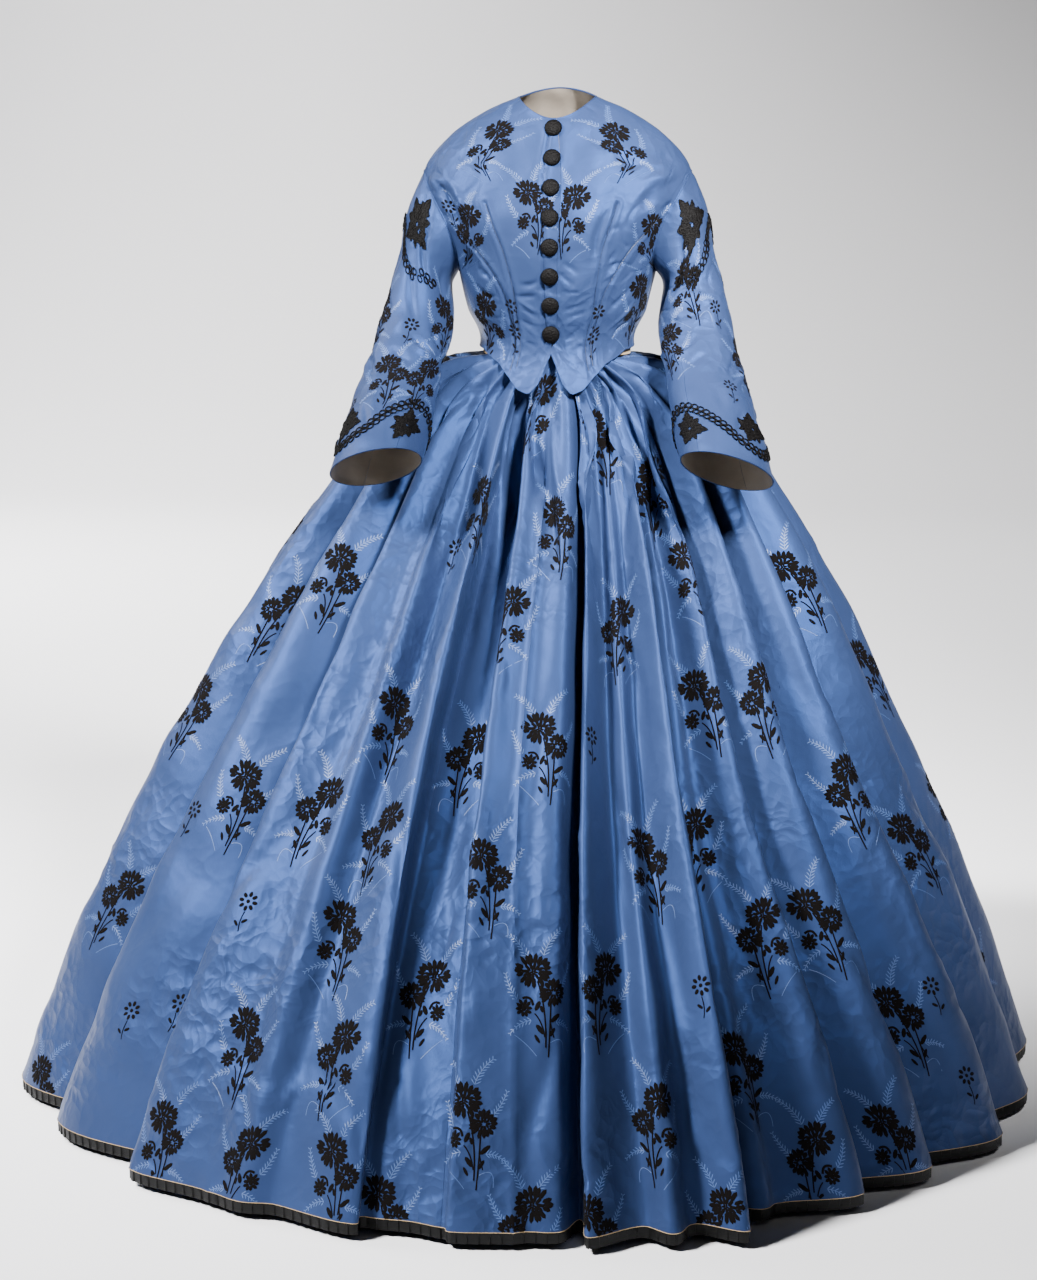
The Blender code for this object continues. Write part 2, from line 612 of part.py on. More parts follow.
def build_buttons(braid):
    """Domed buttons down the centre front, each turned about the cloth's normal."""
    sides = BUTTON_SIDES
    for n in range(BUTTONS):
        z = LOWEST_BUTTON + (BUTTONS - 1 - n) * BUTTON_SPACING
        step = np.array(step_at(0.0, z))
        base = body(np.array(0.0), step)
        out = normals_of(body, np.array(0.0), step, 0.5, 0.004)
        right = unit(np.cross([0, 0, 1.0], out))
        up = np.cross(out, right)
        base = base + (BUTTON_GAP + hollow_under(base, out, step, BUTTON_RADIUS)) * out
        points = []
        for radius, height in BUTTON_PROFILE:
            for k in range(sides):
                turn = 2 * math.pi * k / sides
                flat = math.cos(turn) * right + math.sin(turn) * up
                points.append(base + BUTTON_RADIUS * radius * flat + BUTTON_HEIGHT * height * out)
        top = len(points)
        points.append(base + BUTTON_HEIGHT * out)
        faces = [list(reversed(range(sides)))]
        for ring in range(len(BUTTON_PROFILE) - 1):
            for k in range(sides):
                a, b = ring * sides + k, ring * sides + (k + 1) % sides
                faces.append([a, b, b + sides, a + sides])
        last = (len(BUTTON_PROFILE) - 1) * sides
        faces += [[last + k, last + (k + 1) % sides, top] for k in range(sides)]
        mesh_object(f"button_{n + 1}", points, faces, braid)


# The sleeves


def armhole_ring(turn):
    """The sleeve's head: the armhole's edge, moved into the hole by the seam's gap."""
    angle, step = armhole(turn)
    edge = body(angle, step)
    inside = body(*(np.asarray(x) for x in blended_to_centre(angle, step)))
    return edge + SLEEVE_HEAD_GAP * unit(inside - edge)


def blended_to_centre(angle, step):
    """A place a little way in from the armhole's edge."""
    share = 0.05
    return angle + (ARMHOLE_ANGLE - angle) * share, step + (ARMHOLE_STEP - step) * share


def sleeve_rings(turn, side):
    """The rings' points at these turns: 0 outside, 90 in front, 180 inside."""
    rings = [armhole_ring(turn)]
    c, s = np.cos(np.radians(turn)), np.sin(np.radians(turn))
    for n, ring in enumerate(SLEEVE_RINGS):
        spread = SLEEVE_SPREAD[side] * ((n + 1) / len(SLEEVE_RINGS)) ** 2
        middle = 0.5 * (ring.outer_x + ring.inner_x) + spread, 0.5 * (ring.outer_z + ring.inner_z)
        reach = 0.5 * (ring.outer_x - ring.inner_x), 0.5 * (ring.outer_z - ring.inner_z)
        tip = math.radians(ring.tip)
        rings.append(
            np.stack(
                [
                    middle[0] + reach[0] * c,
                    ring.y - ring.half_depth * math.cos(tip) * s,
                    middle[1] + reach[1] * c + ring.half_depth * math.sin(tip) * s,
                ],
                -1,
            )
        )
    return np.stack(rings)


def sleeve_surface(side):
    """The sleeve's surface as a function of turns in degrees and steps down from the armhole."""

    def surface(turn, step):
        turn, step = np.broadcast_arrays(np.asarray(turn, float), np.asarray(step, float))
        rings = np.moveaxis(sleeve_rings(turn.ravel(), side), 1, 0)
        points = np.array([along(r, s) for r, s in zip(rings, step.ravel())])
        points[:, 0] *= side
        return points.reshape(turn.shape + (3,))

    return surface


def sleeve_normals(side, turn, step):
    """Outward normals. The steps stay on the sleeve at both its ends."""
    surface = sleeve_surface(side)
    low, high = np.clip(step - 0.01, 0, 1), np.clip(step + 0.01, 0, 1)
    across = surface(turn + 1.0, step) - surface(turn - 1.0, step)
    down = surface(turn, high) - surface(turn, low)
    return side * unit(np.cross(across, down))


def piece_turns(piece):
    """The turns of the columns of points of a sleeve's upper or under piece."""
    if piece == "upper":
        return np.linspace(BACK_SLEEVE_SEAM, FRONT_SLEEVE_SEAM, UPPER_COLUMNS + 1)
    return np.linspace(FRONT_SLEEVE_SEAM, BACK_SLEEVE_SEAM + 360, UNDER_COLUMNS + 1)


def build_sleeve(name, side, silk):
    """A two-piece coat sleeve: the upper and the under piece, joined in front and behind."""
    for piece in ("upper", "under"):
        turns = piece_turns(piece)[None, ::-side]
        turn, step = np.broadcast_arrays(turns, np.array(SLEEVE_ROWS)[:, None])
        outer = sleeve_surface(side)(turn, step)
        inner = outer - SLEEVE_WALL * sleeve_normals(side, turn, step)
        wall(
            f"sleeve_{piece}_{name}",
            pulled_back(outer.copy(), SEAM_GAP),
            pulled_back(inner, SEAM_GAP),
            silk,
        )


def sleeve_facets(side):
    """The sleeve's flat facets as a function of turns and steps, from its panels' own points."""
    turns = np.concatenate([piece_turns("upper")[:-1], piece_turns("under")])
    points = sleeve_surface(side)(turns[None, :], np.array(SLEEVE_ROWS)[:, None])

    def surface(turn, step):
        turn, step = np.broadcast_arrays(np.asarray(turn, float), np.asarray(step, float))
        turn = BACK_SLEEVE_SEAM + (turn - BACK_SLEEVE_SEAM) % 360
        column = np.interp(turn, turns, np.arange(len(turns)))
        row = np.interp(step, SLEEVE_ROWS, np.arange(len(SLEEVE_ROWS)))
        j = np.minimum(column.astype(int), len(turns) - 2)
        i = np.minimum(row.astype(int), len(SLEEVE_ROWS) - 2)
        x, y = (column - j)[..., None], (row - i)[..., None]
        high = points[i, j] * (1 - x) + points[i, j + 1] * x
        low = points[i + 1, j] * (1 - x) + points[i + 1, j + 1] * x
        return high * (1 - y) + low * y

    return surface


def laid_on_sleeve(side, turn, step, height):
    """Points over the sleeve's facets at a height above them."""
    turn, step = np.broadcast_arrays(np.asarray(turn, float), np.asarray(step, float))
    return FACETS[side](turn, step) + height * sleeve_normals(side, turn, step)


def cuff_chain_route(turn):
    """How far above the cuff's edge the serpentine chain runs, in metres."""
    wave = np.cos(np.radians(CUFF_CHAIN_WAVES * (turn - CUFF_CHAIN_PEAK)))
    middle = 0.5 * (CUFF_CHAIN_LOW + CUFF_CHAIN_HIGH)
    return middle + 0.5 * (CUFF_CHAIN_HIGH - CUFF_CHAIN_LOW) * wave


def cap_chain_route(turn):
    """How far below the armhole the cap's two swags hang, in metres."""
    start, end = cap_chain_span()
    share = (turn - start) / (end - start)
    return CAP_CHAIN_TOP + CAP_CHAIN_SAG * np.sin(2 * math.pi * share) ** 2


def cap_chain_span():
    return CAP_STAR_ANGLES[1] - SWAG_REACH, CAP_STAR_ANGLES[0] + SWAG_REACH


def band(name, side, route_turn, route_step, braid, closed):
    """A flat band of chain along a route over the sleeve, of even width."""
    low = laid_on_sleeve(side, route_turn, route_step, LAID_GAP)
    ahead = np.roll(low, -1, axis=0) - np.roll(low, 1, axis=0)
    if not closed:
        ahead[0], ahead[-1] = low[1] - low[0], low[-1] - low[-2]
    out = sleeve_normals(side, route_turn, route_step)
    across = unit(np.cross(out, ahead))
    edges = []
    for way in (1, 0, -1):
        edges.append(settled(side, low + way * CHAIN_WIDTH / 2 * across, route_turn, route_step))
    grids = []
    for height in (LAID_GAP + BRAID_THICK, LAID_GAP):
        grids.append(np.stack([laid_on_sleeve(side, t, s, height) for t, s in edges]))
    wall(name, grids[0], grids[1], braid, closed=closed)


def settled(side, points, turn, step):
    """The turns and steps of the sleeve's points nearest to these, by a few Newton steps."""
    surface = FACETS[side]
    turn, step = np.array(turn, float), np.array(step, float)
    for _ in range(5):
        here = surface(turn, step)
        by_turn = surface(turn + 0.5, step) - surface(turn - 0.5, step)
        low, high = np.clip(step - 0.004, 0, 1), np.clip(step + 0.004, 0, 1)
        by_step = (surface(turn, high) - surface(turn, low)) / (high - low)[..., None]
        miss = points - here
        a, b, c = dot(by_turn, by_turn), dot(by_turn, by_step), dot(by_step, by_step)
        p, q = dot(miss, by_turn), dot(miss, by_step)
        det = a * c - b * b
        turn = turn + (c * p - b * q) / det
        step = np.clip(step + (a * q - b * p) / det, 0.002, 0.998)
    return turn, step


def step_of_length(side, turn, length, from_cuff):
    """The step that lies a length of silk from the armhole or from the cuff's edge."""
    steps = np.linspace(0, 1, LENGTH_SAMPLES)
    found = []
    for t, wanted in zip(np.ravel(turn), np.ravel(length)):
        points = sleeve_surface(side)(np.full(LENGTH_SAMPLES, t), steps)
        run = np.concatenate([[0], np.cumsum(np.linalg.norm(np.diff(points, axis=0), axis=1))])
        found.append(np.interp(run[-1] - wanted if from_cuff else wanted, run, steps))
    return np.array(found)


def star(name, side, turn, step, radius, braid):
    """A leaf star of braid: leaves round a middle, laid on the sleeve."""
    points = len(LEAF_OUTLINE) * STAR_LEAVES
    middle = laid_on_sleeve(side, turn, step, 0.0)
    out = sleeve_normals(side, np.array(turn), np.array(step))
    right = unit(np.cross(out, [0, 0, 1.0]))
    up = np.cross(right, out)
    rings = [(np.array([turn] * points), np.array([step] * points))]
    for share in CAP_STAR_SHARES if radius > CUFF_STAR_RADIUS else CUFF_STAR_SHARES:
        places = []
        for k in range(points):
            bearing = 2 * math.pi * k / points
            leaf = LEAF_OUTLINE[k % len(LEAF_OUTLINE)]
            reach = radius * share * (1 + (leaf - 1) * share)
            places.append(middle + reach * (math.sin(bearing) * right + math.cos(bearing) * up))
        start_turn, start_step = rings[0]
        rings.append(settled(side, np.array(places), start_turn, start_step))
    grids = []
    for height in (LAID_GAP + BRAID_THICK, LAID_GAP):
        rows = [laid_on_sleeve(side, t, s, height) for t, s in rings]
        grids.append(rows)
    disc(name, grids, points, braid)


def disc(name, grids, points, braid):
    """Two layers of rings about a middle point, joined at the rim."""
    verts, faces = [], []
    rings = len(grids[0]) - 1
    lower = 1 + rings * points
    for layer, rows in enumerate(grids):
        start = layer * lower
        verts.append(rows[0][0])
        for ring in rows[1:]:
            verts += list(ring)
        for k in range(points):
            a, b = start + 1 + k, start + 1 + (k + 1) % points
            found = [[start, a, b]]
            for _ in range(rings - 1):
                found.append([a, a + points, b + points, b])
                a, b = a + points, b + points
            faces += found if layer == 0 else [face[::-1] for face in found]
            if layer == 0:
                faces.append([a, a + lower, b + lower, b])
    thing = mesh_object(name, verts, faces, braid)
    turned = bmesh.new()
    turned.from_mesh(thing.data)
    bmesh.ops.recalc_face_normals(turned, faces=turned.faces)
    turned.to_mesh(thing.data)
    turned.free()


def build_sleeve_braid(name, side, braid):
    """The chain and leaf stars round the cuff, and the swags and stars over the cap."""
    turn = np.linspace(0, 360, CUFF_CHAIN_COLUMNS, endpoint=False)
    step = step_of_length(side, turn, cuff_chain_route(turn), True)
    band(f"cuff_chain_{name}", side, turn, step, braid, True)
    start, end = cap_chain_span()
    turn = np.linspace(start, end, CAP_CHAIN_COLUMNS)
    step = step_of_length(side, turn, cap_chain_route(turn), False)
    band(f"cap_chain_{name}", side, turn, step, braid, False)
    half_period = 180 / CUFF_CHAIN_WAVES
    for n in range(2 * CUFF_CHAIN_WAVES):
        turn = CUFF_CHAIN_PEAK + n * half_period
        high = CUFF_CHAIN_HIGH - CUFF_STAR_OFFSET
        length = high if n % 2 == 0 else CUFF_CHAIN_LOW + CUFF_STAR_OFFSET
        step = float(step_of_length(side, turn, length, True)[0])
        star(f"cuff_star_{name}_{n + 1}", side, turn, step, CUFF_STAR_RADIUS, braid)
    for n, turn in enumerate(CAP_STAR_ANGLES):
        step = float(step_of_length(side, turn, CAP_STAR_LENGTH, False)[0])
        star(f"cap_star_{name}_{n + 1}", side, turn, step, CAP_STAR_RADIUS, braid)


FACETS = {side: sleeve_facets(side) for side in (1, -1)}

clear_scene()
blue_silk = finish("blue_silk", "4B73B4", 0.45)
black_braid = finish("black_braid", "1B1713", 0.75)
black_silk = finish("black_silk", "191716", 0.60)
tan_tape = finish("tan_tape", "A58A62", 0.85)
build_skirt(blue_silk)
build_hem_pleating(black_silk)
build_waistband(tan_tape)
build_bodice(blue_silk)
build_buttons(black_braid)
for arm, way in (("left", 1), ("right", -1)):
    build_sleeve(arm, way, blue_silk)
    build_sleeve_braid(arm, way, black_braid)
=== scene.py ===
"""The looks of a day dress of about 1860 in figured blue silk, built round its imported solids.
Metres, +Z up, the wearer's left is +X. Angles round the body are in degrees: 0 at the centre
front, 90 at the wearer's left.
"""

import math
from collections import namedtuple

import bpy
import numpy as np
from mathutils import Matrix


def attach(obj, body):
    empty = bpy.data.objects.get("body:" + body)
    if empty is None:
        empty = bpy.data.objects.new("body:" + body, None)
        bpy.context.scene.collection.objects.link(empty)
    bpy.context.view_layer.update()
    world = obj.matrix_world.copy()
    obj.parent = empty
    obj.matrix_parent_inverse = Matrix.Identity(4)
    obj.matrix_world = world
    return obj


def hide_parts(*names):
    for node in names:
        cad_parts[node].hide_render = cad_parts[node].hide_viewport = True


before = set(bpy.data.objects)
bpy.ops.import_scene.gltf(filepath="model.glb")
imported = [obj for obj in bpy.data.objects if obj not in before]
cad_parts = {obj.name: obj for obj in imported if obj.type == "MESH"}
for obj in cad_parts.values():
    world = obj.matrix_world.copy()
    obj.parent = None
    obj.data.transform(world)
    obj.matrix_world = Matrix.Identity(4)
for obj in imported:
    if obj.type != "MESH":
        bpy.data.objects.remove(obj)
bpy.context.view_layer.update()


# The skirt
# Eight widths of figured silk taffeta, each a thin shell on its solid, pleated into the waistband
# and hanging in deep folds. Sewn to each other down their sides.

# On the skirt u counts the folds from the right hip, and step runs from 0 at the waist to 1 at the hem
SKIRT_WALL = 0.0016
SEAM_GAP = 0.0004
COLUMNS_A_FOLD = 18
SKIRT_ROWS = 128
WAIST_PLEAT_DEPTH = 0.0025
SKIRT_SWAY = 0.0016
HIP_STEP, MID_STEP = 0.2, 0.5
RISE_STEP, LEVEL_STEP = 0.25, 0.8
SUNK_STEPS = (0.08, 0.34, 0.62, 0.96)
BACK_FOLDS = 11
SEAM_FOLDS = (0, 3, 7, 12, 16, 19, 22, 26, 29)

Level = namedtuple("Level", "drop_front drop_side drop_back side front back shift")
SKIRT_LEVELS = (
    Level(0.0096, 0.0096, 0.0096, 0.1050, 0.0885, 0.0825, 0.000),
    Level(0.036, 0.0135, 0.014, 0.150, 0.0960, 0.115, 0.000),
    Level(0.062, 0.034, 0.034, 0.195, 0.1070, 0.165, 0.000),
    Level(0.110, 0.085, 0.085, 0.248, 0.132, 0.240, -0.002),
    Level(0.200, 0.190, 0.190, 0.318, 0.190, 0.335, -0.008),
    Level(0.320, 0.315, 0.315, 0.398, 0.278, 0.435, -0.016),
    Level(0.460, 0.455, 0.455, 0.470, 0.378, 0.525, -0.024),
    Level(0.610, 0.605, 0.605, 0.538, 0.482, 0.610, -0.030),
    Level(0.760, 0.755, 0.755, 0.604, 0.578, 0.690, -0.032),
    Level(0.910, 0.905, 0.905, 0.662, 0.655, 0.762, -0.033),
    Level(1.050, 1.050, 1.050, 0.714, 0.706, 0.815, -0.034),
)
Fold = namedtuple("Fold", "hip mid hem deep_hip deep_mid deep_hem rise flat lean sunk")
FRONT_FOLDS = {
    "hip_right": Fold(-103, -100, -101, 0.018, 0.044, 0.050, 0.010, 2.6, -0.5, 0),
    "side_right": Fold(-80, -79, -84, 0.018, 0.046, 0.054, 0.040, 2.6, -0.3, 0),
    "outer_right": Fold(-56, -53, -61, 0.018, 0.054, 0.052, 0.014, 3.0, -0.75, 0),
    "inner_right": Fold(-40, -35.5, -42.5, 0.018, 0.050, 0.050, 0.012, 3.2, -0.75, 0),
    "merging_right": Fold(-30, -27, -31, 0.012, 0.014, 0.004, 0.000, 2.2, 0.0, 0),
    "bright_fold": Fold(-23.5, -20, -23, 0.016, 0.036, 0.016, 0.004, 2.6, 0.8, 0),
    "shadow_fold": Fold(-15, -13, -12.5, 0.020, 0.064, 0.026, -0.026, 2.2, 0.0, 0.046),
    "front_right": Fold(-9, -5, -4, 0.018, 0.058, 0.014, 0.000, 3.0, -0.5, 0),
    "front_left": Fold(-0.7, 1.5, 3.5, 0.014, 0.005, 0.003, -0.006, 3.0, 0.1, 0),
    "narrow_fold": Fold(11, 11.2, 10.5, 0.018, 0.050, 0.050, 0.014, 2.4, -0.8, 0),
    "broad_inner": Fold(16, 15.8, 17, 0.016, 0.036, 0.014, 0.020, 2.4, 0.0, 0.024),
    "broad_outer": Fold(20.5, 20.4, 22, 0.016, 0.034, 0.006, 0.040, 2.4, 0.6, 0),
    "shadow_left": Fold(26.5, 25.7, 27.5, 0.018, 0.058, 0.050, -0.022, 2.2, 0.2, 0.034),
    "inner_left": Fold(31, 31, 33, 0.016, 0.052, 0.032, 0.002, 2.8, 0.6, 0.016),
    "middle_left": Fold(38, 37.5, 43.5, 0.018, 0.056, 0.050, -0.002, 2.8, 0.6, 0),
    "outer_left": Fold(48, 47.5, 55, 0.018, 0.052, 0.046, 0.020, 2.8, 0.6, 0),
    "side_left": Fold(62, 60, 69, 0.018, 0.052, 0.044, 0.016, 2.8, 0.5, 0),
    "hip_left": Fold(82, 82, 86, 0.018, 0.048, 0.054, 0.036, 2.6, 0.3, 0),
}
LAST_FRONT_VALLEY = Fold(104, 104, 107, 0.018, 0.046, 0.052, 0.0, 2.6, 0.4, 0)


def smooth(x):
    x = np.clip(x, 0, 1)
    return x * x * (3 - 2 * x)


def along(rows, step):
    """The rows of a table, read on a smooth curve at a step from 0 to 1 (Catmull-Rom)."""
    rows = np.asarray(rows, float)
    ends = np.concatenate([[2 * rows[0] - rows[1]], rows, [2 * rows[-1] - rows[-2]]])
    place = np.asarray(step, float) * (len(rows) - 1)
    k = np.clip(place.astype(int), 0, len(rows) - 2)
    x = (place - k).reshape(place.shape + (1,) * (rows.ndim - 1))
    p0, p1, p2, p3 = (ends[k + i] for i in range(4))
    return p1 + 0.5 * x * (
        p2 - p0 + x * (2 * p0 - 5 * p1 + 4 * p2 - p3 + x * (3 * (p1 - p2) + p3 - p0))
    )


def unit(vectors):
    return vectors / np.maximum(np.linalg.norm(vectors, axis=-1, keepdims=True), 1e-12)


def skirt_outline(angle, step):
    level = np.moveaxis(along(SKIRT_LEVELS, step), -1, 0)
    c, s = np.cos(np.radians(angle)), np.sin(np.radians(angle))
    in_front = c > 0
    depth = np.where(in_front, level[4], level[5])
    drop = np.where(in_front, level[0], level[2]) * c * c + level[1] * s * s
    return np.stack([level[3] * s + level[6], -depth * c, -drop], -1)


def normals_of(surface, u, v, du, dv):
    across = surface(u + du, v) - surface(u - du, v)
    up = surface(u, v + dv) - surface(u, v - dv)
    return unit(np.cross(across, up))


def all_folds():
    """Every fold right round, the front ones as they hang in view and the back ones by rule."""
    folds = list(FRONT_FOLDS.values())
    first, last = folds[0], LAST_FRONT_VALLEY
    for k in range(BACK_FOLDS):
        share = k / BACK_FOLDS
        wave = math.sin(2.3 * k + 0.6)
        folds.append(
            Fold(
                hip=last.hip + share * (first.hip + 360 - last.hip),
                mid=last.mid + share * (first.mid + 360 - last.mid) + 1.5 * wave,
                hem=last.hem + share * (first.hem + 360 - last.hem) + 2.0 * wave,
                deep_hip=0.018,
                deep_mid=0.048 + 0.006 * wave,
                deep_hem=0.052 + 0.008 * wave,
                rise=0.012 + 0.008 * math.cos(1.7 * k),
                flat=2.8,
                lean=0.60 * math.copysign(1, math.cos(1.1 * k + 0.4)),
                sunk=0,
            )
        )
    return folds


FOLDS = all_folds()
FOLD_COUNT = len(FOLDS)
LAST_VALLEY = [angle + 360 for angle in FOLDS[0][:3]] + list(FOLDS[0][3:6])
VALLEYS = np.array([fold[:6] for fold in FOLDS] + [LAST_VALLEY])
RIDGES = np.array([fold[6:] for fold in FOLDS])


def by_height(step, hip, mid, hem):
    first = smooth((step - HIP_STEP) / (MID_STEP - HIP_STEP))
    second = smooth((step - MID_STEP) / (1 - MID_STEP))
    return hip + (mid - hip) * first + (hem - mid) * second


def skirt_surface(u, step):
    """A point of the folded silk. The whole part of u is the fold, the rest is across it."""
    u, step = np.broadcast_arrays(np.asarray(u, float), np.asarray(step, float))
    k = np.floor(u).astype(int)
    turn = k // FOLD_COUNT
    share = u - k
    k = k % FOLD_COUNT
    left, right = VALLEYS[k], VALLEYS[k + 1]
    rise, flat, lean, sunk = np.moveaxis(RIDGES[k], -1, 0)
    ends = [by_height(step, *np.moveaxis(side[..., :3], -1, 0)) for side in (left, right)]
    deeps = [by_height(step, *np.moveaxis(side[..., 3:], -1, 0)) for side in (left, right)]
    near_waist = np.clip(step / HIP_STEP, 0, 1)
    crest = 1 - np.abs(np.cos(math.pi * share)) ** flat
    deep = deeps[0] + (deeps[1] - deeps[0]) * share
    deep = WAIST_PLEAT_DEPTH + (deep - WAIST_PLEAT_DEPTH) * near_waist
    lift = rise * smooth((step - RISE_STEP) / (1 - RISE_STEP))
    start, full, waning, end = SUNK_STEPS
    held = smooth((step - start) / (full - start)) * smooth((end - step) / (end - waning))
    lift = lift - sunk * held
    half = 0.5 * (ends[1] - ends[0])
    angle = ends[0] + 2 * half * share + lean * half * crest * near_waist + 360 * turn
    out = normals_of(skirt_outline, angle, step, 0.5, -0.002)
    out[..., 2] *= 1 - smooth((step - LEVEL_STEP) / (1 - LEVEL_STEP))
    return skirt_outline(angle, step) + out * (lift * crest - deep * (1 - crest))[..., None]


def grid_normals(points, closed):
    """Outward normals of a grid: rows run down, columns anticlockwise seen from above."""
    if closed:
        across = unit(np.roll(points, -1, axis=1) - points) + unit(points - np.roll(points, 1, axis=1))
    else:
        step = unit(np.diff(points, axis=1))
        across = np.concatenate([step[:, :1], step[:, 1:] + step[:, :-1], step[:, -1:]], axis=1)
    return unit(np.cross(across, -np.gradient(points, axis=0)))


def lengths(points):
    """The grid's distances across each row and down each column, in metres."""
    across = np.linalg.norm(np.diff(points, axis=1), axis=-1)
    down = np.linalg.norm(np.diff(points, axis=0), axis=-1)
    return (
        np.concatenate([np.zeros((len(points), 1)), np.cumsum(across, axis=1)], axis=1),
        np.concatenate([np.zeros((1, points.shape[1])), np.cumsum(down, axis=0)]),
    )


def field(points, seed, size):
    """A smooth seeded field over space, about 1 in size, with features of this size in metres."""
    rng = np.random.default_rng(seed)
    ways = unit(rng.normal(size=(9, 3))) * (2 * math.pi / (size * rng.uniform(0.7, 1.5, (9, 1))))
    phases = rng.uniform(0, 2 * math.pi, 9)
    return np.sin(points @ ways.T + phases).sum(-1) / 3.0


def crumple(points, seed, size, depth):
    """Crisp shallow creases that come and go, as in taffeta that has been pressed and moved."""
    ridge = np.exp(-((field(points, seed, size) / 0.16) ** 2))
    where = smooth(field(points, seed + 1, 2.2 * size) - 0.1)
    return depth * ridge * where


Crease = namedtuple("Crease", "u step length tilt width depth")
